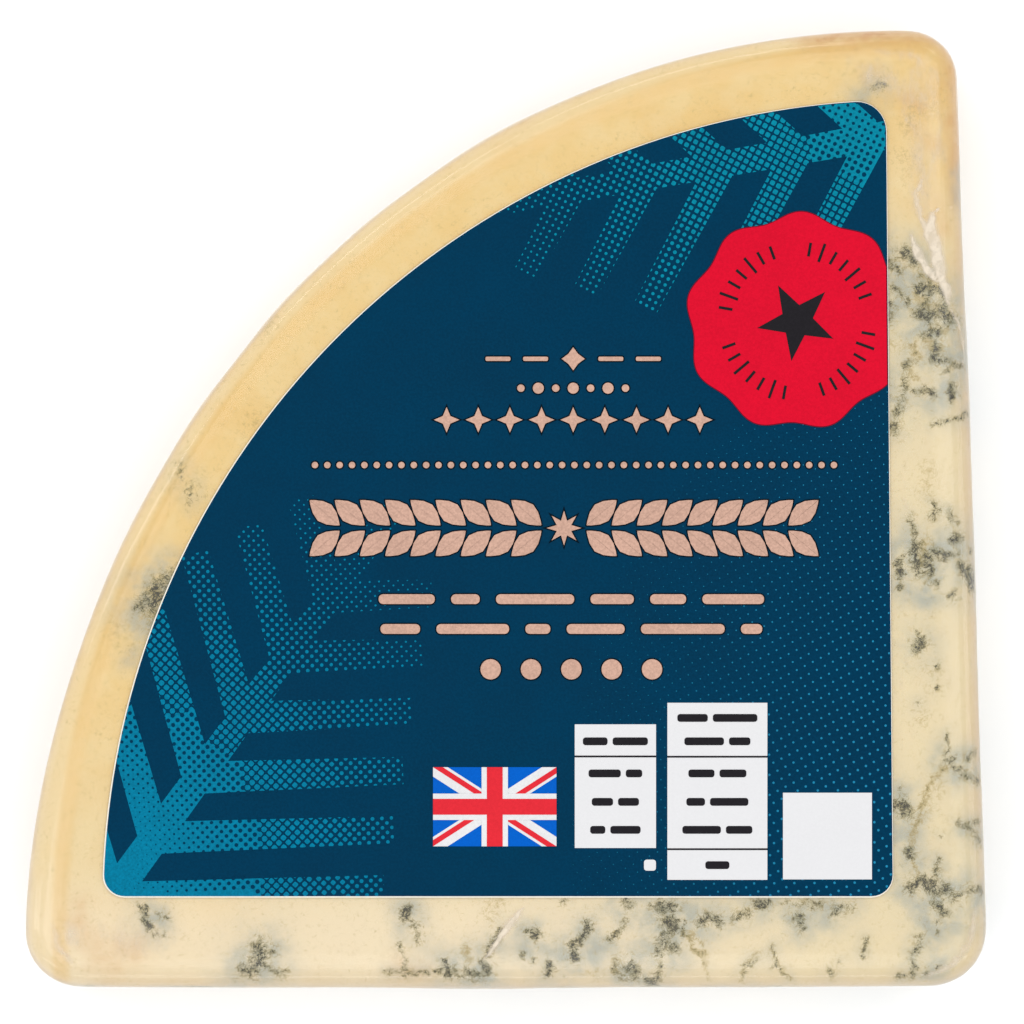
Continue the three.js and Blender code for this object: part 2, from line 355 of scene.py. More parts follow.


# Folds of the film that stand off the paste on the top, and blots where it only clouds. Some are painted
# highlights along the top's corners and edges.
FILM_FOLDS_AND_HIGHLIGHTS = (
    Fold(0.46, 0.03, 1.00, ((44.3, 30.0), (44.7, 28.6), (45.4, 27.0), (46.1, 25.9), (47.0, 24.9))),
    Fold(
        0.78, 0.04, 1.00, ((46.3, 32.2), (46.3, 30.4), (46.7, 28.6), (47.1, 27.0), (47.6, 25.2), (48.4, 22.6))
    ),
    Fold(0.36, 0.02, 0.62, ((45.2, 36.4), (44.8, 34.6), (45.0, 32.6), (45.4, 31.2), (45.9, 29.8))),
    Fold(0.24, 0.01, 0.70, ((46.7, 32.5), (47.4, 32.9))),
    Fold(0.30, 0.02, 0.60, ((48.5, 22.6), (49.0, 21.0), (49.4, 19.6), (49.9, 17.4))),
    Fold(0.24, 0.02, 0.45, ((50.0, 17.0), (50.3, 14.6), (50.6, 12.0))),
    Fold(0.60, 0.01, 0.42, ((43.3, 43.8), (44.4, 41.6), (44.9, 39.8))),
    # Painted highlight: a pale line on the back right shoulder.
    Fold(0.90, 0.02, 0.34, ((46.9, 46.4), (47.6, 42.2), (47.2, 37.0))),
    Fold(0.80, 0.02, 0.34, ((40.0, 50.2), (44.4, 49.6), (46.8, 47.2))),
    Fold(0.36, 0.04, 0.85, ((1.8, -43.3), (-0.4, -46.2), (-2.5, -49.4))),
    # Painted highlight: the soft white curve round the front right corner.
    Fold(0.60, 0.03, 0.55, ((51.2, -43.4), (50.5, -47.4), (48.9, -49.4), (45.8, -50.9))),
    Fold(0.60, 0.03, 0.45, ((-49.6, -44.8), (-49.0, -47.4), (-47.4, -49.2))),
    Fold(0.25, 0.01, 0.26, ((43.4, 13.0), (43.4, -10.0), (43.1, -39.0))),
    Fold(0.25, 0.01, 0.22, ((50.2, 10.0), (50.8, -12.0), (51.2, -25.0))),
    Fold(2.60, 0.01, 0.38, ((38.0, 48.4), (42.4, 46.2))),
    Fold(3.20, 0.01, 0.40, ((45.2, 48.6), (45.6, 43.2))),
    Fold(2.20, 0.01, 0.36, ((44.2, 43.6), (45.4, 38.6), (45.4, 33.0))),
    Fold(3.00, 0.01, 0.32, ((-43.8, -46.0), (-37.6, -47.4))),
    # Painted highlight: a pale patch at the front left corner.
    Fold(1.40, 0.02, 0.42, ((-48.0, -45.2), (-46.4, -47.4))),
)

# Creases of the film on the sides, that fan out from the lower corners.
SIDE_FOLDS = (
    Fold(0.34, 0.07, 0.34, ((52.8, -26.0, 19.5), (52.8, -36.0, 12.0), (52.8, -45.0, 3.0))),
    Fold(0.26, 0.05, 0.28, ((52.8, -41.0, 21.0), (52.8, -45.0, 13.0), (52.8, -47.0, 4.0))),
    Fold(0.34, 0.07, 0.34, ((52.8, 49.0, 3.0), (52.8, 42.0, 10.0), (52.8, 30.0, 16.0))),
    Fold(0.28, 0.05, 0.28, ((46.5, -52.7, 3.0), (41.0, -52.7, 10.0), (29.0, -52.7, 17.5))),
    Fold(0.24, 0.05, 0.26, ((47.5, -52.6, 4.0), (46.0, -52.7, 12.0), (42.0, -52.7, 20.0))),
    Fold(0.34, 0.07, 0.34, ((-48.5, -52.6, 3.0), (-44.0, -52.7, 10.0), (-33.0, -52.7, 18.0))),
    Fold(0.30, 0.06, 0.30, ((-51.0, -42.0, 4.0), (-50.4, -36.0, 12.0), (-48.4, -26.0, 19.0))),
    Fold(0.26, 0.05, 0.26, ((44.0, 53.2, 3.0), (36.0, 52.5, 11.0), (24.0, 50.6, 18.0))),
)


# ---------------------------------------------------------------- properties


# The stage gives a surface that faces up this many times the light that shows white as white.
STAGE_LIGHT = 1.42


def length(name, text, size, smallest=0.0):
    """A length property, in metres."""
    return bpy.props.FloatProperty(
        name=name,
        description=text,
        default=size,
        min=smallest,
        precision=6,
        unit="LENGTH",
        subtype="DISTANCE",
    )


def share(name, text, size, most=1.0):
    """A plain number property, such as a share or a strength."""
    return bpy.props.FloatProperty(name=name, description=text, default=size, min=0.0, max=most)


def tint(name, text, red, green, blue, light=STAGE_LIGHT):
    """A colour property, from the red, green and blue, 0 to 255, that a render in this light shows."""
    return bpy.props.FloatVectorProperty(
        name=name,
        description=text,
        default=tuple(linear(level / 255) / light for level in (red, green, blue)),
        size=3,
        min=0.0,
        max=1.0,
        subtype="COLOR",
    )


def linear(level):
    """A screen level, 0 to 1, as the share of light it stands for."""
    return level / 12.92 if level <= 0.04045 else ((level + 0.055) / 1.055) ** 2.4


class CheeseSettings(bpy.types.PropertyGroup):
    """Sizes and colours of the cheese."""

    clearance: length("Clearance", "Gap between the wrapped outside and the paste", 0.09 * MM)
    net: length("Net", "Size of the faces on the rim and the underside", 1.0 * MM, 0.3 * MM)
    pit_depth: length("Pit depth", "How deep the mould pockets are sunk", 0.12 * MM)
    unevenness: length("Unevenness", "Height of the soft hollows all over the paste", 0.06 * MM)
    hidden_veins: bpy.props.IntProperty(
        name="Hidden veins", description="Veins on the cut sides and the underside", default=230, min=0
    )
    core: tint("Core", "Paste near the wheel's axis", 236, 217, 175)
    rim: tint("Rim", "Paste near the rind", 241, 205, 132)
    curd: tint("Curd", "Paler curds in the paste", 246, 226, 176)
    front: tint("Front", "Creamy paste along the front", 250, 230, 196)
    # Patch colours the real richer patches in the rim, and also a ring of painted shade along the rim that
    # offsets the film's sheen.
    patch_and_sheen_offset: tint("Patch", "Richer patches in the rim", 235, 191, 108)
    # Edge paints shade on the rounded top edge, mostly on the cut sides, and also colours the real rind below
    # it.
    edge: tint("Edge", "Drier paste at the cut edges, near the rind", 236, 196, 136)
    # Painted shade on the rounded top edge, near the wheel's axis.
    edge_shade_near_axis: tint("Drab edge", "Drier paste at the cut edges, near the wheel's axis", 225, 200, 158)
    # Painted highlight: a pale band on the rounded edge along the rim.
    rim_highlight: tint("Pale edge", "Paste at the edge of the rim", 250, 225, 176)
    # Painted shade: a thin dark line round the top, where its rounded edge turns away from the light.
    silhouette_shade: tint("Brink", "Thin line round the top", 204, 170, 124)
    amber: tint("Amber", "Dark amber stain at the back right", 214, 154, 78)
    haze: tint("Haze", "Grey bloom round the mould", 162, 169, 161)
    ochre: tint("Ochre", "Stain beside the mould", 182, 156, 84)
    olive: tint("Olive", "Thin mould", 118, 112, 54)
    mould: tint("Mould", "Thick mould", 38, 37, 22)


class FilmSettings(bpy.types.PropertyGroup):
    """Sizes and finish of the film."""

    clearance: length("Clearance", "Gap between the wrapped outside and the film", 0.01 * MM)
    net: length("Net", "Size of the film's faces", 0.9 * MM, 0.3 * MM)
    slack: length("Slack", "How far the film sinks between its high places", 0.03 * MM)
    roughness: share("Roughness", "Roughness of the film's gloss", 0.16)
    # The milk is partly real, where the film stands off the paste, and partly painted highlights along the
    # top's corners and edges.
    bloom: share("Bloom", "Share of milkiness where the film stands off the paste", 0.80)
    milk_and_highlight: tint("Milk", "Where the film stands off the paste", 252, 237, 214)


class LabelSettings(bpy.types.PropertyGroup):
    """Sizes and ink colours of the label."""

    ink: length("Ink", "Height of one layer of ink", 0.02 * MM, 0.002 * MM)
    paper_edge: length("Paper edge", "Bare paper round the print", 0.11 * MM)
    trap: length("Trap", "Dark line round the copper ink", 0.14 * MM)
    pitch: length("Pitch", "Distance between the halftone dots", 0.73 * MM, 0.2 * MM)
    fine_pitch: length("Fine pitch", "Distance between the faint dots of the corner", 0.98 * MM, 0.2 * MM)
    paper: tint("Paper", "Bare paper", 255, 251, 238)
    navy: tint("Navy", "Ground of the label", 0, 56, 86)
    trap_ink: tint("Trap ink", "Line round the copper ink", 4, 22, 34)
    teal_back: tint("Teal, back", "Halftone ink at the back of the label", 6, 136, 163)
    teal_front: tint("Teal, front", "Halftone ink at the front of the label", 4, 124, 159)
    faint_far: tint("Faint dots, far", "Corner dots where they start", 12, 96, 126)
    faint: tint("Faint dots", "Corner dots where they are strongest", 34, 136, 176)
    copper: tint("Copper", "Ornaments and rules", 211, 171, 152)
    panel: tint("Panel", "White panels", 236, 236, 238)
    black: tint("Black", "Rules and marks in the panels", 38, 36, 40)
    flag_blue: tint("Flag blue", "Field of the flag", 5, 99, 206)
    flag_red: tint("Flag red", "Crosses of the flag", 232, 48, 60)
    seal: tint("Seal", "Red of the seal", 225, 17, 48)
    seal_edge: tint("Seal edge", "Thin line round the seal", 120, 16, 40)


class StageSettings(bpy.types.PropertyGroup):
    """The camera, the lights and the floor."""

    camera_height: length("Camera height", "Height of the camera above the floor", 1.3)
    lens: bpy.props.FloatProperty(
        name="Lens", description="Focal length", default=411.4, min=1.0, unit="CAMERA"
    )
    sky: share("Sky", "Strength of the light from all round", 0.86, 10.0)
    key: bpy.props.FloatProperty(
        name="Key", description="Power of each large light overhead", default=2.9, min=0.0, unit="POWER"
    )
    strip: bpy.props.FloatProperty(
        name="Strip", description="Power of each low strip light", default=0.30, min=0.0, unit="POWER"
    )
    floor: tint("Floor", "The floor", 247, 249, 252, 1.0)


# ---------------------------------------------------------------- nodes


class Finish:
    """A material under construction: its node tree, and short ways to add the nodes this file uses."""

    def __init__(self, name):
        self.material = bpy.data.materials.new(name)
        self.material.use_nodes = True
        self.tree = self.material.node_tree
        self.shader = self.tree.nodes["Principled BSDF"]
        self.output = self.tree.nodes["Material Output"]
        self.place = self.tree.nodes.new("ShaderNodeTexCoord").outputs["Object"]

    def feed(self, socket, value):
        """Links a value that is another socket to the socket, and sets one that is a number or colour."""
        if isinstance(value, bpy.types.NodeSocket):
            self.tree.links.new(value, socket)
        elif hasattr(value, "__len__") and len(value) == 3 and socket.type == "RGBA":
            socket.default_value = (*value, 1.0)
        else:
            socket.default_value = value

    def math(self, operation, first, second=0.0, third=0.0, clamp=False):
        """A Math node."""
        node = self.tree.nodes.new("ShaderNodeMath")
        node.operation = operation
        node.use_clamp = clamp
        for socket, value in zip(node.inputs, (first, second, third)):
            self.feed(socket, value)
        return node.outputs[0]

    def ramp(self, value, low, high, start=0.0, end=1.0):
        """Value from low to high as start to end, eased at both ends."""
        node = self.tree.nodes.new("ShaderNodeMapRange")
        node.interpolation_type = "SMOOTHSTEP"
        for name, number in zip(
            ("Value", "From Min", "From Max", "To Min", "To Max"), (value, low, high, start, end)
        ):
            self.feed(node.inputs[name], number)
        return node.outputs["Result"]

    def noise(self, feature, detail=2.0, roughness=0.5, distortion=0.0, place=None):
        """Noise with features of about the given length in metres."""
        node = self.tree.nodes.new("ShaderNodeTexNoise")
        node.inputs["Scale"].default_value = 1 / feature
        node.inputs["Detail"].default_value = detail
        node.inputs["Roughness"].default_value = roughness
        node.inputs["Distortion"].default_value = distortion
        self.tree.links.new(place or self.place, node.inputs["Vector"])
        return node.outputs["Fac"]

    def ridge(self, feature, width):
        """1 along winding lines through noise, easing to 0 beside them."""
        away = self.math("ABSOLUTE", self.math("SUBTRACT", self.noise(feature, 3, 0.55, 0.9), 0.5))
        return self.ramp(away, 0.0, width, 1.0, 0.0)

    def total(self, *parts):
        """The sum of values, each times its weight."""
        result = 0.0
        for value, weight in parts:
            result = self.math("MULTIPLY_ADD", value, weight, result)
        return result

    def attribute(self, name):
        """A number kept on the mesh's points."""
        node = self.tree.nodes.new("ShaderNodeAttribute")
        node.attribute_name = name
        return node.outputs["Fac"]

    def mix(self, amount, first, second, blend="MIX"):
        """Two colours mixed by an amount from 0 to 1."""
        node = self.tree.nodes.new("ShaderNodeMix")
        node.data_type = "RGBA"
        node.blend_type = blend
        colours = [socket for socket in node.inputs if socket.type == "RGBA"]
        self.feed(node.inputs["Factor"], amount)
        self.feed(colours[0], first)
        self.feed(colours[1], second)
        return [socket for socket in node.outputs if socket.type == "RGBA"][0]

    def bump(self, height, depth, strength=1.0):
        """A bump of a depth in metres on the main shader."""
        node = self.tree.nodes.new("ShaderNodeBump")
        node.inputs["Strength"].default_value = strength
        node.inputs["Distance"].default_value = depth
        self.feed(node.inputs["Height"], height)
        self.tree.links.new(node.outputs["Normal"], self.shader.inputs["Normal"])
        return node.outputs["Normal"]

    def set(self, **values):
        """Sets or feeds the main shader's sockets, named with _ for spaces."""
        for name, value in values.items():
            self.feed(self.shader.inputs[name.replace("_", " ")], value)
        return self


def cheese_finish(settings):
    """Paste that is pale at the core and yellow at the rim, with grey, ochre and dark mould, and with painted
    shade and a painted highlight on the top's rounded edge.
    """
    finish = Finish("blue_veined_paste")
    axis = finish.tree.nodes.new("ShaderNodeMapping")
    axis.vector_type = "POINT"
    axis.inputs["Location"].default_value = (-WHEEL_AXIS.x, -WHEEL_AXIS.y, 0)
    axis.inputs["Scale"].default_value = (1, 1, 0)
    finish.feed(axis.inputs["Vector"], finish.place)
    radius = finish.tree.nodes.new("ShaderNodeVectorMath")
    radius.operation = "LENGTH"
    finish.feed(radius.inputs[0], axis.outputs["Vector"])
    wander = finish.math("MULTIPLY_ADD", finish.noise(26 * MM, 2), 30 * MM, radius.outputs["Value"])
    parts = finish.tree.nodes.new("ShaderNodeSeparateXYZ")
    finish.feed(parts.inputs[0], finish.place)
    inland = finish.ramp(parts.outputs["Y"], block_low.y + 3 * MM, block_low.y + 40 * MM, 0.30, 1.0)
    rimward = finish.math("MULTIPLY", finish.ramp(wander, 72 * MM, 108 * MM), inland)
    colour = finish.mix(rimward, settings.core, settings.rim)
    rich = finish.ramp(finish.noise(13 * MM, 3, 0.55), 0.50, 0.72)
    rich_rim = finish.math("MULTIPLY", rich, finish.math("MULTIPLY", rimward, 0.75))
    colour = finish.mix(rich_rim, colour, settings.patch_and_sheen_offset)
    curd = finish.ramp(finish.noise(4 * MM, 4, 0.6), 0.35, 0.70)
    colour = finish.mix(finish.math("MULTIPLY", curd, 0.30), colour, settings.curd)
    front = finish.ramp(parts.outputs["Y"], block_low.y + 16 * MM, block_low.y + 6 * MM)
    leftward = finish.ramp(parts.outputs["X"], 45 * MM, 5 * MM, 0.0, 0.62)
    colour = finish.mix(finish.math("MULTIPLY", front, leftward), colour, settings.front)

    drift = finish.math("MULTIPLY_ADD", finish.noise(5 * MM, 2), 1.0 * MM, parts.outputs["Z"])
    above = finish.ramp(drift, TOP - 6.5 * MM, TOP - 3.0 * MM)
    shoulder = finish.math("MULTIPLY", finish.ramp(drift, TOP + 0.35 * MM, TOP - 1.2 * MM), above)
    reach = radius.outputs["Value"]
    rind_side = finish.ramp(reach, 90 * MM, 95 * MM)
    # Painted shade: darker tan paste on the rounded top edge, strongest on the cut sides, where the edge
    # turns from the light.
    edge_shade = finish.math("MULTIPLY", shoulder, finish.ramp(rind_side, 0.0, 1.0, 0.75, 0.20))
    edge_shade_colour = finish.mix(rimward, settings.edge_shade_near_axis, settings.edge)
    colour = finish.mix(edge_shade, colour, edge_shade_colour)
    # Painted shade: a ring of richer paste along the rim, which offsets the film's sheen there.
    ring_inside = finish.ramp(reach, 94.6 * MM, 95.8 * MM)
    ring_outside = finish.ramp(reach, 97.4 * MM, 96.6 * MM)
    ring = finish.math("MULTIPLY", ring_inside, ring_outside)
    colour = finish.mix(finish.math("MULTIPLY", ring, 0.46), colour, settings.patch_and_sheen_offset)
    # Painted highlight: a pale band on the rounded top edge along the rim, where the low lights shine.
    lower = finish.ramp(drift, TOP - 1.6 * MM, TOP - 0.6 * MM)
    pale = finish.math("MULTIPLY", finish.ramp(reach, 96.3 * MM, 97.3 * MM), lower)
    colour = finish.mix(finish.math("MULTIPLY", pale, 0.52), colour, settings.rim_highlight)
    # Painted shade: a thin dark line round the top, where its rounded edge turns away from the light.
    silhouette_shade = finish.math("MULTIPLY", finish.ramp(drift, TOP - 1.1 * MM, TOP - 2.3 * MM), above)
    colour = finish.mix(finish.math("MULTIPLY", silhouette_shade, 0.62), colour, settings.silhouette_shade)
    patchy = finish.ramp(finish.noise(2.4 * MM, 3, 0.6), 0.32, 0.62, 0.62, 0.96)
    amber = finish.math("MULTIPLY", finish.attribute("amber"), patchy)
    colour = finish.mix(amber, colour, settings.amber)
    rind = finish.math("MULTIPLY", rind_side, finish.ramp(drift, TOP - 3.0 * MM, TOP - 5.0 * MM))
    crust = finish.ramp(finish.noise(3.2 * MM, 4, 0.6), 0.35, 0.65, 0.25, 0.8)
    colour = finish.mix(finish.math("MULTIPLY", rind, crust), colour, settings.edge)

    mould = finish.attribute("mould")
    haze = finish.attribute("haze")
    ochre = finish.attribute("ochre")
    clump = finish.noise(0.60 * MM, 4, 0.66, 0.4)
    speck = finish.noise(0.22 * MM, 3, 0.7)
    lace = finish.math("MAXIMUM", finish.ridge(1.1 * MM, 0.055), finish.ridge(0.62 * MM, 0.05))
    cloud = finish.ramp(finish.noise(2.6 * MM, 4, 0.6), 0.34, 0.66, 0.42, 1.15)
    bloom = finish.math("MULTIPLY", haze, cloud, clamp=True)
    colour = finish.mix(finish.math("MULTIPLY", bloom, 0.78), colour, settings.haze)
    rough = finish.math("MULTIPLY", finish.math("SUBTRACT", clump, 0.5), 2.8)
    fine = finish.math("MULTIPLY", finish.math("SUBTRACT", speck, 0.5), 2.8)
    stain = finish.ramp(finish.total((ochre, 0.66), (rough, 0.46), (lace, 0.38)), 0.22, 0.96)
    colour = finish.mix(finish.math("MULTIPLY", stain, 0.68), colour, settings.ochre)
    thin = finish.ramp(finish.total((mould, 0.95), (rough, 0.50), (lace, 0.26), (fine, 0.16)), 0.40, 1.00)
    colour = finish.mix(finish.math("MULTIPLY", thin, 0.60), colour, settings.olive)
    thick = finish.ramp(finish.total((mould, 0.96), (rough, 0.44), (lace, 0.38), (fine, 0.32)), 0.84, 1.30)
    colour = finish.mix(finish.math("MULTIPLY", thick, 0.94), colour, settings.mould)

    finish.set(Base_Color=colour, Subsurface_Weight=0.12, Subsurface_Scale=0.3 * MM, Specular_IOR_Level=0.3)
    finish.shader.inputs["Subsurface Radius"].default_value = (1.0, 0.7, 0.4)
    finish.set(Roughness=finish.ramp(clump, 0.3, 0.7, 0.46, 0.62))
    finish.bump(finish.math("SUBTRACT", finish.noise(1.6 * MM, 2, 0.5), thick), 0.025 * MM, 0.5)
    return finish.material


def film_finish(settings):
    """Clear film: it shows what is behind it, shines by Fresnel and is white where it stands off, and where
    highlights along the top's corners and edges are painted white.
    """
    finish = Finish("clear_film")
    nodes = finish.tree.nodes
    clear = nodes.new("ShaderNodeBsdfTransparent")
    clear.inputs["Color"].default_value = (0.985, 0.985, 0.98, 1.0)
    gloss = nodes.new("ShaderNodeBsdfGlossy")
    gloss.inputs["Color"].default_value = (1.0, 1.0, 1.0, 1.0)
    finish.feed(gloss.inputs["Roughness"], settings.roughness)
    fresnel = nodes.new("ShaderNodeFresnel")
    fresnel.inputs["IOR"].default_value = 1.48
    inner_side = nodes.new("ShaderNodeNewGeometry").outputs["Backfacing"]
    outer_shine = finish.math("MULTIPLY", fresnel.outputs[0], finish.math("SUBTRACT", 1.0, inner_side))
    ripple = finish.bump(finish.noise(6 * MM, 1, 0.5), 0.10 * MM, 0.5)
    finish.feed(gloss.inputs["Normal"], ripple)
    shine = nodes.new("ShaderNodeMixShader")
    finish.feed(shine.inputs[0], outer_shine)
    finish.feed(shine.inputs[1], clear.outputs[0])
    finish.feed(shine.inputs[2], gloss.outputs[0])
    grain = nodes.new("ShaderNodeMapping")
    grain.inputs["Rotation"].default_value = (0, 0, math.radians(-18))
    grain.inputs["Scale"].default_value = (1.0, 0.35, 1.0)
    finish.feed(grain.inputs["Vector"], finish.place)
    streaks = finish.noise(1.3 * MM, 4, 0.62, place=grain.outputs["Vector"])
    # Milky white where the film stands off the paste, which also paints highlights along the top's corners
    # and edges.
    milk_highlight_wisps = finish.ramp(finish.total((finish.attribute("milk_and_highlight"), 1.35), (streaks, 0.95)), 0.64, 1.58)
    patchy = finish.ramp(finish.noise(0.9 * MM, 3, 0.6), 0.34, 0.62, 0.72, 1.04)
    white = finish.total((finish.math("MULTIPLY", milk_highlight_wisps, patchy), settings.bloom))
    milk_highlight_veil = finish.math("ADD", white, 0.012, clamp=True)
    finish.set(Base_Color=settings.milk_and_highlight, Roughness=0.35)
    together = nodes.new("ShaderNodeMixShader")
    finish.feed(together.inputs[0], milk_highlight_veil)
    finish.feed(together.inputs[1], shine.outputs[0])
    finish.feed(together.inputs[2], finish.shader.outputs[0])
    finish.feed(finish.output.inputs["Surface"], together.outputs[0])
    return finish.material


def paper_finish(settings):
    """Smooth coated paper with a faint fibre."""
    finish = Finish("label_stock")
    fibre = finish.noise(0.35 * MM, 4, 0.65)
    darker = tuple(level * 0.93 for level in settings.paper)
    finish.set(Base_Color=finish.mix(finish.ramp(fibre, 0.35, 0.7), settings.paper, darker))
    finish.set(Roughness=finish.ramp(fibre, 0.3, 0.7, 0.5, 0.62), Specular_IOR_Level=0.35)
    finish.bump(fibre, 0.01 * MM, 0.4)
    return finish.material


def ink_finish(name, colour, other=None, axis="Y", start=0.0, end=1.0, mottle=0.10):
    """Ink on paper: a fine mottle over one colour, or over two that meet along an axis from start to end."""
    finish = Finish(name)
    base = colour
    if other is not None:
        parts = finish.tree.nodes.new("ShaderNodeSeparateXYZ")
        finish.feed(parts.inputs[0], finish.place)
        base = finish.mix(finish.ramp(parts.outputs[axis], start, end), colour, other)
    speckle = finish.ramp(finish.noise(0.26 * MM, 3, 0.7), 0.30, 0.72)
    cloud = finish.noise(5.5 * MM, 2, 0.5)
    lighter = finish.mix(1.0, base, (1 + mottle,) * 3, "MULTIPLY")
    darker = finish.mix(1.0, base, (1 - mottle,) * 3, "MULTIPLY")
    amount = finish.math("ADD", speckle, finish.math("SUBTRACT", cloud, 0.5), clamp=True)
    finish.set(Base_Color=finish.mix(amount, darker, lighter), Specular_IOR_Level=0.02)
    finish.set(Roughness=finish.ramp(cloud, 0.3, 0.7, 0.50, 0.62))
    finish.bump(finish.noise(0.35 * MM, 4, 0.65), 0.006 * MM, 0.35)
    return finish.material


def floor_finish(settings):
    """Plain pale floor."""
    finish = Finish("pale_floor")
    soft = finish.noise(0.25, 2)
    shade = tuple(level * 0.985 for level in settings.floor)
    finish.set(Base_Color=finish.mix(soft, settings.floor, shade), Roughness=0.75, Specular_IOR_Level=0.2)
    return finish.material


# ---------------------------------------------------------------- shared mesh work


WOBBLE_SEED = 11


def finished_mesh(name, body):
    """Makes a bmesh a mesh, and frees it."""
    mesh = bpy.data.meshes.new(name)
    body.to_mesh(mesh)
    body.free()
    return mesh


def add_piece(name, mesh, material, replaced=()):
    """Makes a mesh a named piece that rides on the part, and hides the parts it replaces."""
    if not mesh.polygons:
        raise RuntimeError(f"{name} has no faces")
    piece = bpy.data.objects.new(name, mesh)
    bpy.context.scene.collection.objects.link(piece)
    mesh.materials.append(material)
    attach(piece, "root")
    if replaced:
        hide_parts(*replaced)


def add_print(name, body, ink):
    """Makes a bmesh a named piece of print on the label."""
    add_piece(name, finished_mesh(name, body), ink)


def add_layer(name, body, fields, material):
    """Makes a bmesh a smooth piece in the wrapped block's place, with fields of numbers on its points."""
    mesh = finished_mesh(name, body)
    mesh.shade_smooth()
    for field, values in fields.items():
        attribute = mesh.attributes.new(field, "FLOAT", "POINT")
        attribute.data.foreach_set("value", values.astype(np.float32))
    add_piece(name, mesh, material, [BLOCK])


def even_block(net):
    """A bmesh of the wrapped block on an even net of small faces, softened a little."""
    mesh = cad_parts[BLOCK].data.copy()
    body = bmesh.new()
    body.from_mesh(mesh)
    bmesh.ops.remove_doubles(body, verts=body.verts, dist=MERGE)
    body.to_mesh(mesh)
    body.free()
    draft = bpy.data.objects.new("draft", mesh)
    bpy.context.scene.collection.objects.link(draft)
    even_net = draft.modifiers.new("even_net", "REMESH")
    even_net.mode = "VOXEL"
    even_net.voxel_size = net
    rounding = draft.modifiers.new("rounding", "SMOOTH")
    rounding.iterations = 6
    outside = draft.modifiers.new("outside", "SHRINKWRAP")
    outside.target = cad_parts[BLOCK]
    evaluated = draft.evaluated_get(bpy.context.evaluated_depsgraph_get())
    even = bpy.data.meshes.new_from_object(evaluated)
    bpy.data.objects.remove(draft)
    body = bmesh.new()
    body.from_mesh(even)
    bpy.data.meshes.remove(even)
    bmesh.ops.smooth_vert(
        body, verts=body.verts, factor=0.5, use_axis_x=True, use_axis_y=True, use_axis_z=True
    )
    body.normal_update()
    return body


def refine(body, wanted, cuts):
    """Divides the edges whose middles pass a test for an array of places into cuts + 1."""
    middles = np.array([(edge.verts[0].co + edge.verts[1].co) / 2 for edge in body.edges])
    edges = [edge for edge, passed in zip(body.edges, wanted(middles)) if passed]
    bmesh.ops.subdivide_edges(body, edges=edges, cuts=cuts, use_grid_fill=True, smooth=0.0)
    body.normal_update()


def draw_in(body, depth):
    """Moves each point along its normal to a depth below the surface, which may vary from place to place."""
    moves = [(vert, vert.normal.copy(), depth(vert.co)) for vert in body.verts]
    for vert, outward, amount in moves:
        vert.co -= outward * amount


def smoothstep(value, low, high):
    """0 below low, 1 above high, and eased between."""
    part = np.clip((value - low) / (high - low), 0, 1)
    return part * part * (3 - 2 * part)


def path_distance(points, path):
    """Distance of each point from a path of straight stretches, and the share of the path at its foot."""
    nearest = np.full(len(points), np.inf)
    share_along = np.zeros(len(points))
    path = [np.array(place, float) for place in path]
    stretches = list(zip(path, path[1:])) or [(path[0], path[0])]
    for number, (start, end) in enumerate(stretches):
        along = end - start
        squared = max(float(along @ along), 1e-12)
        part = np.clip((points - start) @ along / squared, 0, 1)
        away = np.linalg.norm(points - start - part[:, None] * along, axis=1)
        share_along = np.where(away < nearest, (number + part) / len(stretches), share_along)
        nearest = np.minimum(nearest, away)
    return nearest, share_along


def wobble(points, feature, amount):
    """Shifts the points by smooth noise, in mm. The seed keeps the noise the same each run."""
    noise.seed_set(WOBBLE_SEED)
    shift = [noise.noise_vector(Vector(point) / feature) for point in points]
    return points + np.array(shift) * amount


# ---------------------------------------------------------------- cheese


# The label's round edge is taken as a circle about the wheel's axis, whose radius is this much less than
# the label's reach to the back.
ARC_SHORTFALL = 0.8 * MM
# The height of the top's softened edge.
SHOULDER = 2.2 * MM


def beyond_label(places):
    """How far each place lies outside the label as seen from above, in metres."""
    x, y, _ = places.T
    inside = np.minimum(np.minimum(x - label_low.x, label_high.x - x), y - label_low.y)
    arc = np.hypot(x - WHEEL_AXIS.x, y - WHEEL_AXIS.y) - (label_high.y - WHEEL_AXIS.y) + ARC_SHORTFALL
    return np.maximum(-inside, arc)


def veined_margin(places):
    """True on the open margins of the top where the veins and the amber stain show."""
    x, y, z = places.T
    near = (x > label_high.x - 1.5 * MM) | (y < label_low.y + 1.0 * MM)
    stained = (x > 28 * MM) & (y > block_high.y - 2.5 * MM)
    return (near | stained) & (z > TOP - SHOULDER)


def cut_side(places):
    """True on the two cut sides, below the top's edge."""
    x, y, z = places.T
    near = (x > block_high.x - 3.5 * MM) | (y < block_low.y + 2.0 * MM)
    return near & (z > 1.0 * MM) & (z <= TOP - SHOULDER)


HIDDEN_VEIN_SEED = 7
# The faces and kinds of the hidden veins, each as often as it is listed, and the kinds' reach in mm.
HIDDEN_FACES = ("right", "front", "front", "right", "under", "under", "under")
HIDDEN_KINDS = ("mould", "mould", "thread", "thread", "thread", "haze", "ochre", "speck")
HIDDEN_REACH = {"mould": 0.8, "thread": 0.55, "haze": 1.9, "ochre": 0.7, "speck": 0.5}
# How far under the cut sides and the underside they run, in mm.
CUT_DEPTH = 0.4
UNDER_DEPTH = 0.2
# Between the first two distances from the wheel's axis they thin out by a share, and none starts past
# the last, in mm.
THIN_FROM = 55.0
THIN_TO = 88.0
THINNED = 0.93
LAST_REACH = 95


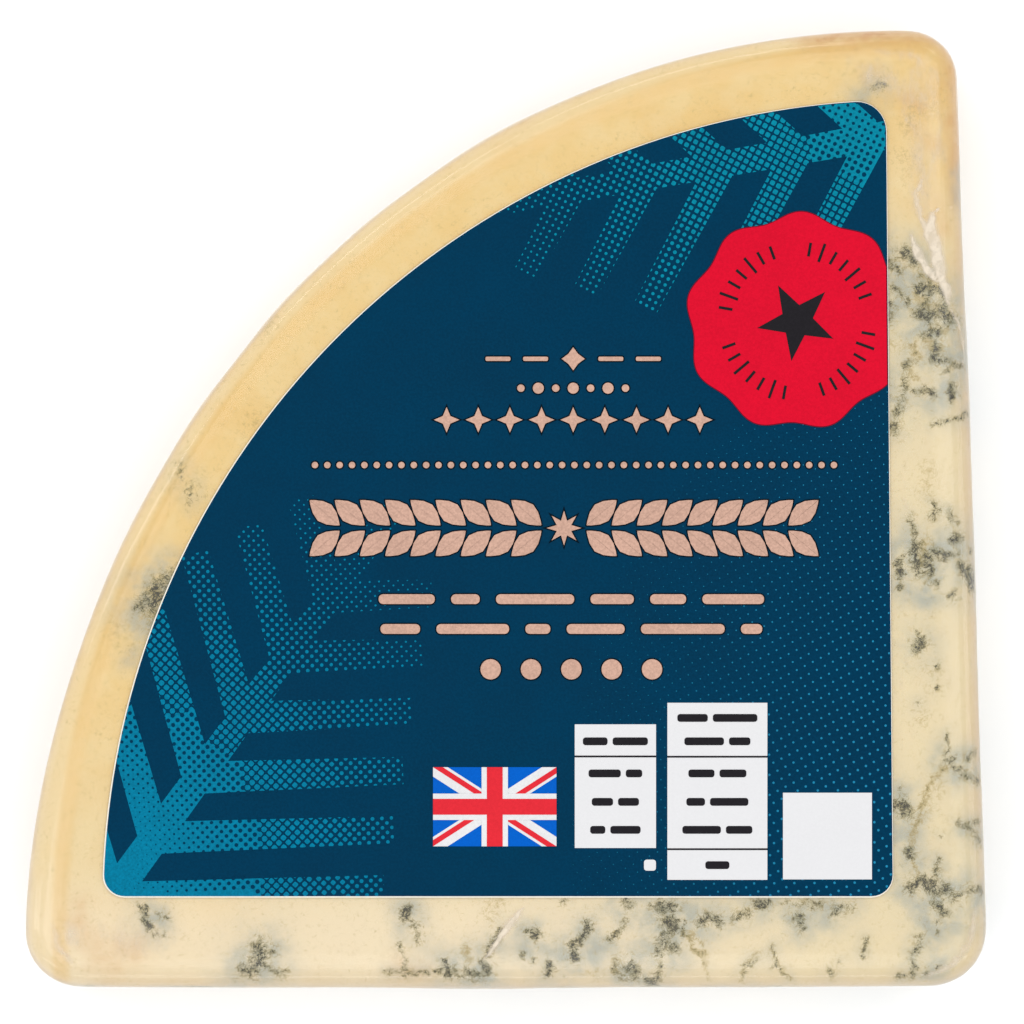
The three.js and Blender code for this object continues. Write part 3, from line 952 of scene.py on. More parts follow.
def keep_on(face, place):
    """Puts a place, in mm, back under one of the block's faces."""
    if face == "right":
        place.x = (block_high / MM).x - CUT_DEPTH
    elif face == "front":
        place.y = (block_low / MM).y + CUT_DEPTH
    else:
        place.z = UNDER_DEPTH


def hidden_veins(amount):
    """Veins that wander over the cut sides and the underside, denser towards the wheel's axis, in mm."""
    draw = random.Random(HIDDEN_VEIN_SEED)
    low = block_low / MM
    high = block_high / MM
    found = []
    while len(found) < amount:
        face = draw.choice(HIDDEN_FACES)
        across = draw.uniform(low.x, high.x)
        ahead = draw.uniform(low.y, high.y)
        place = Vector((across, ahead, draw.uniform(2, high.z - 3)))
        keep_on(face, place)
        rimward = (place.xy - WHEEL_AXIS.xy / MM).length
        if rimward > LAST_REACH or draw.random() < smoothstep(rimward, THIN_FROM, THIN_TO) * THINNED:
            continue
        heading = Vector((draw.gauss(0, 1), draw.gauss(0, 1), draw.gauss(0, 1))).normalized()
        path = [place.copy()]
        for _ in range(draw.randint(1, 4)):
            turn = Vector((draw.gauss(0, 1), draw.gauss(0, 1), draw.gauss(0, 1)))
            heading = (heading + turn * 0.55).normalized()
            place = place + heading * draw.uniform(0.7, 2.2)
            keep_on(face, place)
            path.append(place.copy())
        kind = draw.choice(HIDDEN_KINDS)
        reach = HIDDEN_REACH[kind] * draw.uniform(0.8, 1.5)
        steps = path[:1] if kind == "speck" else path
        found.append(Vein(kind, reach, tuple(tuple(step) for step in steps)))
    return found


def vein_fields(points, settings):
    """Mould, haze, ochre and amber, from 0 to 1, at each point of the cheese, whose places are in mm."""
    fields = {name: np.zeros(len(points)) for name in ("mould", "haze", "ochre", "amber")}
    bent = wobble(wobble(points, 2.2, 0.45), 0.8, 0.34)
    high = points[:, 2]
    on_top = smoothstep(high, TOP / MM - 7.0, TOP / MM - 2.5)
    shown = [(one, bent[:, :2], on_top) for one in RIGHT_VEINS + FRONT_VEINS + RIM_VEINS]
    below = 1 - smoothstep(high, TOP / MM - 3.5, TOP / MM - 1.0)
    hidden = [(one, bent, below) for one in hidden_veins(settings.hidden_veins)]
    for one, places, weight in shown + hidden:
        growth = GROWTHS[one.kind]
        away, _ = path_distance(places, one.path)
        core = np.exp(-((away / (one.reach * 1.15)) ** 2)) * weight
        wide = np.exp(-((away / (one.reach * growth.spread)) ** 2)) * weight
        fields["mould"] = np.maximum(fields["mould"], growth.mould * core)
        fields["amber"] = np.maximum(fields["amber"], growth.amber * core)
        fields["haze"] = 1 - (1 - fields["haze"]) * (1 - growth.haze * wide)
        tinted = np.exp(-((away / (one.reach * 1.3)) ** 2)) * weight
        fields["ochre"] = np.maximum(fields["ochre"], growth.ochre * tinted)
    return fields


class WEDGE_OT_cheese(bpy.types.Operator):
    """Make the blue-veined paste inside the film"""

    bl_idname = "wedge.cheese"
    bl_label = "Cheese"

    def execute(self, context):
        settings = context.scene.wedge_cheese
        body = even_block(settings.net)
        refine(body, cut_side, 1)
        refine(body, veined_margin, 3)

        def depth(place):
            soft = noise.noise(place / (9 * MM)) + 0.5 * noise.noise(place / (3.5 * MM))
            return settings.clearance + settings.unevenness * (0.6 + 0.4 * soft)

        draw_in(body, depth)
        points = np.array([vert.co for vert in body.verts]) / MM
        fields = vein_fields(points, settings)
        body.normal_update()
        for vert, mould in zip(body.verts, fields["mould"]):
            vert.co -= vert.normal * settings.pit_depth * float(mould)
        add_layer("cheese", body, fields, cheese_finish(settings))
        return {"FINISHED"}


# ---------------------------------------------------------------- film


def fold_reach(points, fold):
    """How far each point lies from a fold's path, and the share of the path at its foot."""
    return path_distance(points[:, : len(fold.path[0])], fold.path)


def fold_fields(points):
    """How high, in mm, and how milky, 0 to 1, the film stands at each point. The milk also paints highlights
    along the top's corners and edges.
    """
    height = np.zeros(len(points))
    milk_and_highlight = np.zeros(len(points))
    bent = wobble(wobble(points, 3.0, 0.34), 1.1, 0.26)
    on_top = smoothstep(points[:, 2], TOP / MM - 3.0, TOP / MM - 1.2)
    for fold in FILM_FOLDS_AND_HIGHLIGHTS + SIDE_FOLDS:
        weight = on_top if fold in FILM_FOLDS_AND_HIGHLIGHTS else 1.0
        away, part = fold_reach(bent, fold)
        taper = 0.45 + 0.55 * np.sin(np.pi * np.clip(part, 0.02, 0.98)) ** 0.6
        away = away / (fold.width * taper)
        height = np.maximum(height, fold.height * taper * np.exp(-(away**2) * 2.2) * weight)
        milk_and_highlight = np.maximum(milk_and_highlight, fold.milk_and_highlight * np.exp(-(away**2)) * (0.4 + 0.6 * taper) * weight)
    return height, milk_and_highlight


def folded(places):
    """True on the film near its folds and its painted highlights."""
    points = places / MM
    near = np.zeros(len(points), bool)
    for fold in FILM_FOLDS_AND_HIGHLIGHTS + SIDE_FOLDS:
        close = fold_reach(points, fold)[0] < fold.width * 1.8
        near |= close & (points[:, 2] > TOP / MM - 3.0) if fold in FILM_FOLDS_AND_HIGHLIGHTS else close
    return near & (beyond_label(places) > 0)


class WEDGE_OT_film(bpy.types.Operator):
    """Make the clear film shrunk round the cheese"""

    bl_idname = "wedge.film"
    bl_label = "Film"

    def execute(self, context):
        settings = context.scene.wedge_film
        body = even_block(settings.net)
        refine(body, folded, 3)

        def depth(place):
            soft = 0.5 + 0.5 * noise.noise(place / (11 * MM)) + 0.25 * noise.noise(place / (4 * MM))
            return settings.clearance + settings.slack * max(0.0, soft)

        draw_in(body, depth)
        points = np.array([vert.co for vert in body.verts]) / MM
        height, milk_and_highlight = fold_fields(points)
        height[beyond_label(points * MM) <= 0] = 0
        body.normal_update()
        for vert, rise in zip(body.verts, height):
            vert.co += vert.normal * float(rise) * MM
        add_layer("film", body, {"milk_and_highlight": milk_and_highlight}, film_finish(settings))
        return {"FINISHED"}


# ---------------------------------------------------------------- label print


def inset_outline(body, thickness):
    """Draws the outline of flat faces in and takes away what is left outside it."""
    made = bmesh.ops.inset_region(
        body, faces=body.faces[:], thickness=thickness, use_boundary=True, use_even_offset=True
    )
    bmesh.ops.delete(body, geom=made["faces"], context="FACES")


def label_face(margin):
    """A bmesh of the label's upper face at height 0, drawn in by a margin."""
    body = bmesh.new()
    body.from_mesh(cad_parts[LABEL].data)
    bmesh.ops.remove_doubles(body, verts=body.verts, dist=MERGE)
    body.normal_update()
    lower = [face for face in body.faces if face.normal.z < 0.9]
    bmesh.ops.delete(body, geom=lower, context="FACES")
    bmesh.ops.dissolve_faces(body, faces=body.faces)
    if margin > 0:
        inset_outline(body, margin)
    for vert in body.verts:
        vert.co.z = 0
    return body


def label_outline(margin):
    """The label's outline drawn in by a margin, as points in order, anticlockwise."""
    body = label_face(margin)
    (face,) = body.faces
    outline = [vert.co.copy() for vert in face.verts]
    body.free()
    return outline


def clip(body, outline):
    """Cuts flat faces to the inside of a convex outline."""
    for start, end in zip(outline, outline[1:] + outline[:1]):
        along = end - start
        if along.length < MERGE:
            continue
        outward = Vector((along.y, -along.x, 0)).normalized()
        everything = body.verts[:] + body.edges[:] + body.faces[:]
        bmesh.ops.bisect_plane(body, geom=everything, plane_co=start, plane_no=outward, clear_outer=True)


def press(body, layer, settings):
    """Makes flat faces closed prisms of one layer of ink, sunk a little into what is below."""
    top = label_high.z + settings.ink * layer
    bottom = top - settings.ink * 1.3
    for vert in body.verts:
        vert.co.z = bottom
    raised = bmesh.ops.extrude_face_region(body, geom=body.faces[:])["geom"]
    for item in raised:
        if isinstance(item, bmesh.types.BMVert):
            item.co.z = top
    bmesh.ops.recalc_face_normals(body, faces=body.faces)


def at(x, y, angle=0.0):
    """A matrix that places a shape at x, y in mm, turned by an angle in radians."""
    return Matrix.Translation((x * MM, y * MM, 0)) @ Matrix.Rotation(angle, 4, "Z")


def add_disc(body, x, y, radius, segments=24, angle=0.0):
    """A flat disc, in mm. Returns its points."""
    made = bmesh.ops.create_circle(
        body, cap_ends=True, segments=segments, radius=radius * MM, matrix=at(x, y, angle)
    )
    return made["verts"]


def add_bar(body, x, y, width, height, corner=0.0, angle=0.0):
    """A flat bar about its middle, in mm, with round corners where corner isn't 0."""
    size = Matrix.Diagonal((width * MM, height * MM, 1, 1))
    made = bmesh.ops.create_grid(
        body, x_segments=1, y_segments=1, size=0.5, matrix=at(x, y, angle) @ size
    )["verts"]
    if corner > 0:
        bmesh.ops.bevel(
            body, geom=made, offset=corner * MM, affect="VERTICES", segments=5, profile=0.5, material=-1
        )


def add_leaf(body, x, y, long, wide, angle):
    """A flat pointed leaf that starts at x, y, in mm."""
    middle = Vector((x, y, 0)) + Matrix.Rotation(angle, 3, "Z") @ Vector((long / 2, 0, 0))
    verts = add_disc(body, 0, 0, 1.0, 14)
    place = at(middle.x, middle.y, angle)
    for vert in verts:
        part = vert.co.x / MM
        side = math.copysign(1 - abs(part) ** 1.7, vert.co.y) if abs(vert.co.y) > MERGE else 0.0
        vert.co = place @ Vector((part * long / 2 * MM, side * wide / 2 * MM, 0))


def add_star(body, x, y, radius, points, waist, angle=0.0):
    """A flat star, in mm, whose hollows are at waist times its radius."""
    verts = add_disc(body, x, y, radius, points * 2, angle)
    middle = Vector((x * MM, y * MM, 0))
    for index, vert in enumerate(verts):
        if index % 2:
            vert.co = middle + (vert.co - middle) * waist


def square_off(verts, middle, waist):
    """Pulls every second point of a small disc in, which leaves a square with soft corners."""
    centre = Vector((*middle, 0)) * MM
    for index, vert in enumerate(verts):
        if index % 2:
            vert.co = centre + (vert.co - centre) * waist


def join(body, other):
    """Adds another bmesh to this one and frees it."""
    mesh = bpy.data.meshes.new("part")
    other.to_mesh(mesh)
    other.free()
    body.from_mesh(mesh)
    bpy.data.meshes.remove(mesh)


def trapped(body, settings):
    """A copy of flat faces, each drawn in by the width of the dark line round the copper ink."""
    inner = body.copy()
    made = bmesh.ops.inset_individual(
        inner, faces=inner.faces[:], thickness=settings.trap, use_even_offset=True
    )
    bmesh.ops.delete(inner, geom=made["faces"], context="FACES")
    return inner


class WEDGE_OT_label(bpy.types.Operator):
    """Finish the label's paper and lay its dark blue ground"""

    bl_idname = "wedge.label"
    bl_label = "Label and ground"

    # The print sits this far towards the back right of the paper's middle.
    ASKEW = 0.04 * MM

    def execute(self, context):
        settings = context.scene.wedge_label
        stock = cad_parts[LABEL]
        stock.data.materials.clear()
        stock.data.materials.append(paper_finish(settings))
        body = label_face(settings.paper_edge)
        bmesh.ops.translate(body, verts=body.verts[:], vec=(self.ASKEW, self.ASKEW, 0))
        press(body, 1, settings)
        add_print("print_ground", body, ink_finish("navy_ink", settings.navy, mottle=0.12))
        return {"FINISHED"}


class Stroke(NamedTuple):
    """A straight tapering stroke of the halftone drawing, in mm."""

    start: Vector
    end: Vector
    wide_start: float
    wide_end: float


def fir_sprig(x, y, angle, long, pairs, broad):
    """The strokes of a fir sprig: a stem and pairs of blunt twigs that lean towards its tip, in mm."""
    root = Vector((x, y))
    heading = Vector((math.cos(angle), math.sin(angle)))
    strokes = [Stroke(root, root + heading * long, broad, broad * 0.75)]
    for pair in range(pairs):
        part = 0.10 + 0.84 * pair / pairs
        start = root + heading * long * part
        reach = long * (0.46 * (1 - part) + 0.10)
        for side in (-1, 1):
            lean = angle + side * math.radians(52)
            tip = start + Vector((math.cos(lean), math.sin(lean))) * reach
            strokes.append(Stroke(start, tip, broad, broad * 0.85))
    return strokes


# The fir sprigs in the front left and the back right of the label: root in mm, angle, length, twig
# pairs and half the width of a twig.
FRONT_SPRIG = (-46.5, -47.0, math.radians(54), 58.0, 6, 1.75)
BACK_SPRIG = (45.0, 41.5, math.radians(190), 50.0, 5, 1.6)


def stroke_depth(stroke, x, y):
    """How deep a place lies inside a stroke with square ends, in mm: below 0 is outside."""
    along = stroke.end - stroke.start
    place = Vector((x, y)) - stroke.start
    ahead = place.dot(along) / along.length
    side = abs(place.x * along.y - place.y * along.x) / along.length
    wide = stroke.wide_start + (stroke.wide_end - stroke.wide_start) * ahead / along.length
    return min(wide - side, ahead, along.length - ahead)


def stroke_outline(stroke):
    """The four corners of a stroke, anticlockwise, as points of three coordinates in mm."""
    along = stroke.end - stroke.start
    side = Vector((-along.y, along.x)).normalized()
    corners = (
        stroke.start - side * stroke.wide_start,
        stroke.end - side * stroke.wide_end,
        stroke.end + side * stroke.wide_end,
        stroke.start + side * stroke.wide_start,
    )
    return [corner.to_3d() for corner in corners]


def lattice(low, high, pitch, angle):
    """The places of a square lattice turned by an angle, inside a box, in mm."""
    across = Vector((math.cos(angle), math.sin(angle))) * pitch
    up = Vector((-across.y, across.x))
    middle = (low + high) / 2
    count = int((high - low).length / pitch) // 2 + 1
    for column in range(-count, count + 1):
        for row in range(-count, count + 1):
            place = middle + across * column + up * row
            if low.x <= place.x <= high.x and low.y <= place.y <= high.y:
                yield place


class WEDGE_OT_halftone(bpy.types.Operator):
    """Print the teal halftone sprigs, and the faint dots in the front right corner"""

    bl_idname = "wedge.halftone"
    bl_label = "Halftone"

    # Strengths from which the ink prints solid, and prints square dots.
    SOLID = 0.60
    SQUARE = 0.36
    # Each stroke of a sprig lies this many layers of ink above the one before.
    STEP = 0.05
    # The sprigs print strongest about these places, in mm.
    FRONT_HEART = (-45, -38)
    BACK_HEART = (40, 46)
    # Solid strips end at a multiple of about this length, in mm.
    STRIP_STEP = 0.6
    # The turn of each lattice of dots.
    FRONT_TURN = math.radians(48)
    BACK_TURN = math.radians(62)
    CORNER_TURN = math.radians(27)

    def front_tone(self, x, y):
        """Strength of the front sprigs: full in the corner, fading away from it."""
        away = math.hypot(x - self.FRONT_HEART[0], y - self.FRONT_HEART[1])
        return float(1.0 - 0.55 * smoothstep(away, 3.0, 27.0) - 0.38 * smoothstep(away, 20.0, 46.0))

    def back_tone(self, x, y):
        """Strength of the back sprigs: strongest in the corner, fading away from it."""
        away = math.hypot(x - self.BACK_HEART[0], y - self.BACK_HEART[1])
        return float(0.82 - 0.34 * smoothstep(away, 4.0, 14.0) - 0.40 * smoothstep(away, 14.0, 46.0))

    def execute(self, context):
        settings = context.scene.wedge_label
        outline = label_outline(settings.paper_edge * 1.4)
        low = Vector((min(p.x for p in outline), min(p.y for p in outline))) / MM
        high = Vector((max(p.x for p in outline), max(p.y for p in outline))) / MM
        pitch = settings.pitch / MM
        strips = bmesh.new()
        teal = bmesh.new()
        dark = bmesh.new()
        groups = (
            (fir_sprig(*FRONT_SPRIG), self.front_tone, self.FRONT_TURN),
            (fir_sprig(*BACK_SPRIG), self.back_tone, self.BACK_TURN),
        )
        for strokes, tone, turn in groups:
            half_step = Vector((math.cos(turn) - math.sin(turn), math.sin(turn) + math.cos(turn))) * pitch / 2
            shown = set()
            holed = set()
            for number, stroke in enumerate(strokes):
                layer = 2 + number * self.STEP
                self.add_solid(strips, stroke, tone, outline, layer, settings)
                cut = bmesh.new()
                for place in lattice(low, high, pitch, turn):
                    depth = stroke_depth(stroke, place.x, place.y)
                    strength = tone(place.x, place.y)
                    key = (round(place.x, 3), round(place.y, 3))
                    gap = place + half_step
                    if strength >= self.SOLID - 0.08 and depth > -pitch and key not in holed:
                        if stroke_depth(stroke, gap.x, gap.y) > -0.1:
                            holed.add(key)
                            add_disc(dark, gap.x, gap.y, pitch * self.hole_radius(strength), 8)
                    if key in shown or depth < -pitch / 2 or strength >= self.SOLID + 0.05:
                        continue
                    if depth > pitch / 2:
                        shown.add(key)
                        self.add_dot(teal, place, strength, pitch, turn)
                    elif not any(stroke_depth(other, place.x, place.y) > pitch / 2 for other in strokes):
                        self.add_dot(cut, place, strength, pitch, turn)
                clip(cut, [corner * MM for corner in stroke_outline(stroke)])
                clip(cut, outline)
                press(cut, layer - self.STEP / 2, settings)
                join(strips, cut)
        for body in (teal, dark):
            clip(body, outline)
        press(teal, 1.8, settings)
        press(dark, 4, settings)
        ink = ink_finish("teal_ink", settings.teal_front, settings.teal_back, "Y", -10 * MM, 20 * MM, 0.16)
        add_print("print_sprigs", strips, ink)
        add_print("print_sprig_halftone", teal, ink)
        add_print("print_sprig_dots", dark, ink_finish("navy_dot_ink", settings.navy))
        self.add_corner(settings, outline, low, high)
        return {"FINISHED"}

    def hole_radius(self, strength):
        """Radius of the dark hole between dots, next to their pitch. It shrinks below solid strength."""
        weak = max(0.0, self.SOLID - strength)
        return math.sqrt((1 - strength) / math.pi) * (0.78 if weak else 0.96) - 1.2 * weak

    def add_dot(self, body, place, strength, pitch, turn):
        """One dot of the halftone: a soft square where it is strong, and a disc where it is weak."""
        if strength < self.SQUARE:
            add_disc(body, place.x, place.y, pitch * math.sqrt(strength / math.pi) * 0.96, 8)
        else:
            radius = pitch * math.sqrt(strength / 2) * 0.93
            verts = add_disc(body, place.x, place.y, radius, 8, turn + math.pi / 4)
            square_off(verts, place, 0.83)

    def add_solid(self, body, stroke, tone, outline, layer, settings):
        """The part of a stroke that is strong enough to print solid, as a strip on a layer of its own."""
        along = stroke.end - stroke.start
        steps = max(2, int(along.length / self.STRIP_STEP))
        parts = [step / steps for step in range(steps + 1)]
        strong = [tone(*(stroke.start + along * part)) >= self.SOLID for part in parts]
        last = strong.index(False) - 1 if False in strong else steps
        if last < 1:
            return
        strip = bmesh.new()
        verts = bmesh.ops.create_grid(strip, x_segments=1, y_segments=1, size=1.0)["verts"]
        heading = math.atan2(along.y, along.x)
        middle = stroke.start + along * parts[last] / 2
        place = at(middle.x, middle.y, heading)
        for vert in verts:
            far = (vert.co.x + 1) / 2 * parts[last]
            wide = stroke.wide_start + (stroke.wide_end - stroke.wide_start) * far
            vert.co = place @ (Vector((vert.co.x * along.length * parts[last] / 2, vert.co.y * wide, 0)) * MM)
        clip(strip, outline)
        press(strip, layer, settings)
        join(body, strip)

    def add_corner(self, settings, outline, low, high):
        """Faint dots that grow towards the front right corner."""
        body = bmesh.new()
        for place in lattice(low, high, settings.fine_pitch / MM, self.CORNER_TURN):
            fade = (place.x - 12) * 0.55 - (place.y - 6) * 0.75
            strength = float(smoothstep(fade, 0.0, 44.0)) * float(smoothstep(place.x, 4.0, 30.0))
            if strength > 0.03:
                add_disc(body, place.x, place.y, 0.05 + 0.10 * strength, 6)
        clip(body, outline)
        press(body, 2, settings)
        ink = ink_finish("faint_ink", settings.faint_far, settings.faint, "X", 8 * MM, 40 * MM)
        add_print("print_faint_dots", body, ink)


class WEDGE_OT_ornaments(bpy.types.Operator):
    """Print the copper rule, garland and ornaments"""

    bl_idname = "wedge.ornaments"
    bl_label = "Copper ornaments"

    # Places and sizes are in mm. MIDDLE is the garland's, and the other rows stand a little right of it.
    MIDDLE = 6.33
    RULE_START = -20.82
    RULE_LEVEL = 4.92
    RULE_DOTS = 43
    RULE_PITCH = 1.347
    GARLAND_LEVEL = -1.95
    LEAVES = 9
    LEAF_STEP = 2.75
    HEAD_MIDDLE = MIDDLE + 1.0
    STAR_LEVEL = 9.85
    DOT_LEVEL = 13.3
    BAR_LEVEL = 16.5
    LINES_MIDDLE = MIDDLE + 0.8
    LINES = ((-9.7, (6.4, 3.4, 8.8, 5.0, 4.2, 7.0)), (-12.95, (4.6, 8.2, 3.0, 6.6, 9.4, 2.6)))
    LINE_GAP = 1.5
    SCALE_LEVEL = -17.35

    def execute(self, context):
        settings = context.scene.wedge_label
        body = bmesh.new()
        self.add_rule(body)
        self.add_garland(body)
        self.add_headline(body)
        self.add_lines(body)
        self.add_scale(body)
        inner = trapped(body, settings)
        press(body, 2.8, settings)
        press(inner, 3.6, settings)
        add_print("print_trap", body, ink_finish("trap_ink", settings.trap_ink))
        add_print("print_copper", inner, ink_finish("copper_ink", settings.copper, mottle=0.14))
        return {"FINISHED"}

    def add_rule(self, body):
        """A dotted rule across the label."""
        for dot in range(self.RULE_DOTS):
            add_disc(body, self.RULE_START + dot * self.RULE_PITCH, self.RULE_LEVEL, 0.50, 14)

    def add_garland(self, body):
        """A garland of leaf pairs that point outwards from a middle flower."""
        for hand in (-1, 1):
            for leaf in range(self.LEAVES):
                start = self.MIDDLE + hand * (2.3 + leaf * self.LEAF_STEP)
                for side in (-1, 1):
                    lean = side * math.radians(40)
                    angle = lean if hand > 0 else math.pi - lean
                    add_leaf(body, start, self.GARLAND_LEVEL + side * 0.16, 4.7, 2.6, angle)
        add_star(body, self.MIDDLE, self.GARLAND_LEVEL, 2.4, 8, 0.45)

    def add_headline(self, body):
        """A row of four-pointed stars, with a lozenge and dots above it."""
        for index in range(-4, 5):
            add_star(body, self.HEAD_MIDDLE + index * 3.45, self.STAR_LEVEL, 1.75, 4, 0.42)
        for index in (-2, -1, 1, 2):
            add_bar(body, self.HEAD_MIDDLE + index * 4.1, self.BAR_LEVEL, 3.0, 0.75, 0.3)
        add_star(body, self.HEAD_MIDDLE, self.BAR_LEVEL, 1.5, 4, 0.6)
        for index in range(-3, 4):
            add_disc(body, self.HEAD_MIDDLE + index * 1.9, self.DOT_LEVEL, 0.55 if index % 2 else 0.75, 16)

    def add_lines(self, body):
        """Two rows of plain dashes of uneven length."""
        for level, dashes in self.LINES:
            start = self.LINES_MIDDLE - (sum(dashes) + self.LINE_GAP * (len(dashes) - 1)) / 2
            for dash in dashes:
                add_bar(body, start + dash / 2, level, dash, 1.35, 0.62)
                start += dash + self.LINE_GAP

    def add_scale(self, body):
        """A scale of five discs."""
        for index in range(5):
            add_disc(body, self.LINES_MIDDLE + (index - 2) * 4.4, self.SCALE_LEVEL, 1.25, 28)


class WEDGE_OT_panels(bpy.types.Operator):
    """Print the white panels with their rules and rows, and the white square"""

    bl_idname = "wedge.panels"
    bl_label = "Panels"

    RULE = 0.2
    # Each panel's left, right, front and back edge, its rules and its rows, in mm.
    PANELS = (
        (7.5, 16.36, -36.83, -23.35, (-26.85,), (-25.2, -28.7, -31.8, -34.85)),
        (17.6, 28.5, -40.3, -21.0, (-26.88, -36.96), (-22.65, -25.2, -28.7, -31.8, -34.85, -38.7)),
    )
    # The width of each row next to its panel, and of its first dash next to the row.
    ROW_SHARES = (0.80, 0.66, 0.58, 0.62, 0.70, 0.24)
    DASH_SHARES = (0.38, 0.6, 0.45, 0.3, 0.55, 1.0)
    DASH_GAP = 0.55
    DASH_HEIGHT = 0.85

    def execute(self, context):
        settings = context.scene.wedge_label
        white = bmesh.new()
        black = bmesh.new()
        for panel in self.PANELS:
            self.add_panel(white, black, *panel)
        add_bar(white, 35.05, -35.53, 9.7, 9.45)
        add_bar(white, 15.7, -38.7, 1.3, 1.2, 0.3)
        press(white, 3, settings)
        press(black, 4, settings)
        add_print("print_panels", white, ink_finish("white_ink", settings.panel, mottle=0.015))
        add_print("print_panel_marks", black, ink_finish("black_ink", settings.black))
        return {"FINISHED"}

    def add_panel(self, white, black, left, right, front, back, rules, rows):
        """A white panel with black rules across it and rows of black dashes."""
        add_bar(white, (left + right) / 2, (front + back) / 2, right - left, back - front)
        for rule in rules:
            add_bar(black, (left + right) / 2, rule, right - left, self.RULE)
        for row, row_share, dash_share in zip(rows, self.ROW_SHARES, self.DASH_SHARES):
            wide = (right - left) * row_share
            first = wide * dash_share
            start = (left + right) / 2 - wide / 2
            add_bar(black, start + first / 2, row, first, self.DASH_HEIGHT, 0.3)
            if wide - first > 1.0:
                rest = wide - first - self.DASH_GAP
                add_bar(black, start + first + self.DASH_GAP + rest / 2, row, rest, self.DASH_HEIGHT, 0.3)


class WEDGE_OT_flag(bpy.types.Operator):
    """Print the small flag"""

    bl_idname = "wedge.flag"
    bl_label = "Flag"

    # The edges are in mm. The stripes are shares of the height: a third, a fifth, a fifteenth.
    LEFT, RIGHT, FRONT, BACK = -7.95, 5.51, -36.65, -28.02

    def execute(self, context):
        settings = context.scene.wedge_label
        wide = self.RIGHT - self.LEFT
        high = self.BACK - self.FRONT
        x = (self.LEFT + self.RIGHT) / 2
        y = (self.FRONT + self.BACK) / 2
        corners = (
            (self.LEFT, self.FRONT),
            (self.RIGHT, self.FRONT),
            (self.RIGHT, self.BACK),
            (self.LEFT, self.BACK),
        )
        outline = [Vector((*corner, 0)) * MM for corner in corners]
        slope = math.atan2(high, wide)
        long = math.hypot(wide, high)
        field = bmesh.new()
        add_bar(field, x, y, wide, high)
        saltire = [bmesh.new(), bmesh.new()]
        for body, hand in zip(saltire, (-1, 1)):
            add_bar(body, x, y, long * 1.2, high / 5, 0, hand * slope)
        counter = bmesh.new()
        for angle in (slope, math.pi - slope, math.pi + slope, -slope):
            shift = Vector((long / 4, -high / 30, 0))
            middle = Matrix.Rotation(angle, 3, "Z") @ shift
            add_bar(counter, x + middle.x, y + middle.y, long / 2 * 1.2, high / 15, 0, angle)
        edging = [bmesh.new(), bmesh.new()]
        cross = [bmesh.new(), bmesh.new()]
        for bodies, part in ((edging, 3), (cross, 5)):
            add_bar(bodies[0], x, y, wide, high / part)
            add_bar(bodies[1], x, y, high / part, high)
        for body in (*saltire, counter):
            clip(body, outline)
        blue = ink_finish("flag_blue_ink", settings.flag_blue, mottle=0.06)
        white = ink_finish("flag_white_ink", settings.panel, mottle=0.05)
        red = ink_finish("flag_red_ink", settings.flag_red, mottle=0.06)
        layers = (
            ("print_flag_field", (field,), blue, 2),
            ("print_flag_saltire", saltire, white, 3),
            ("print_flag_counterchange", (counter,), red, 4),
            ("print_flag_edging", edging, white, 5),
            ("print_flag_cross", cross, red, 6),
        )
        for name, bodies, ink, layer in layers:
            piece = bmesh.new()
            for number, body in enumerate(bodies):
                press(body, layer + number * 0.3, settings)
                join(piece, body)
            add_print(name, piece, ink)
        return {"FINISHED"}


class WEDGE_OT_seal(bpy.types.Operator):
    """Print the red seal at the label's right edge"""

    bl_idname = "wedge.seal"
    bl_label = "Seal"

    CENTRE = (31.73, 20.62)
    RADIUS = 11.7
    LOBES = 9
    LOBE_HEIGHT = 0.45
    EDGE = 0.10 * MM
    # The star in its middle and the ring of ticks round that are turned by this many degrees.
    LEAN = 10
    TICKS = 36
    TICK_REACH = 7.9

    def execute(self, context):
        settings = context.scene.wedge_label
        outline = label_outline(settings.paper_edge)
        middle = Vector((*self.CENTRE, 0)) * MM
        red = bmesh.new()
        for vert in add_disc(red, *self.CENTRE, self.RADIUS, 216):
            spoke = vert.co - middle
            angle = math.atan2(spoke.y, spoke.x)
            wave = math.sin(self.LOBES * angle + 0.4) + 0.35 * math.sin(2 * angle + 1.0)
            vert.co = middle + spoke * (1 + wave * self.LOBE_HEIGHT / self.RADIUS)
        clip(red, outline)
        marks = bmesh.new()
        add_star(marks, *self.CENTRE, 4.4, 5, 0.40, math.radians(90 + self.LEAN))
        for tick in range(self.TICKS):
            if tick % 9 in (0, 8):
                continue
            angle = math.tau * tick / self.TICKS + math.radians(self.LEAN)
            x = self.CENTRE[0] + self.TICK_REACH * math.cos(angle)
            y = self.CENTRE[1] + self.TICK_REACH * math.sin(angle)
            add_bar(marks, x, y, 1.5 if tick % 3 else 2.1, 0.30, 0, angle)
        clip(marks, outline)
        edge = red.copy()
        inset_outline(red, self.EDGE)
        press(edge, 4.6, settings)
        press(red, 5, settings)
        press(marks, 6, settings)
        add_print("print_seal_edge", edge, ink_finish("seal_edge_ink", settings.seal_edge))
        add_print("print_seal", red, ink_finish("seal_ink", settings.seal, mottle=0.08))
        add_print("print_seal_marks", marks, ink_finish("seal_mark_ink", settings.black))
        return {"FINISHED"}


# ---------------------------------------------------------------- stage


# Large lights overhead: their bearings in degrees from +X, and their places and size in metres.
KEYS = (30, 120, 210, 300)
KEY_DISTANCE = 0.62
KEY_HEIGHT = 1.25
KEY_SIZE = (0.8, 0.8)

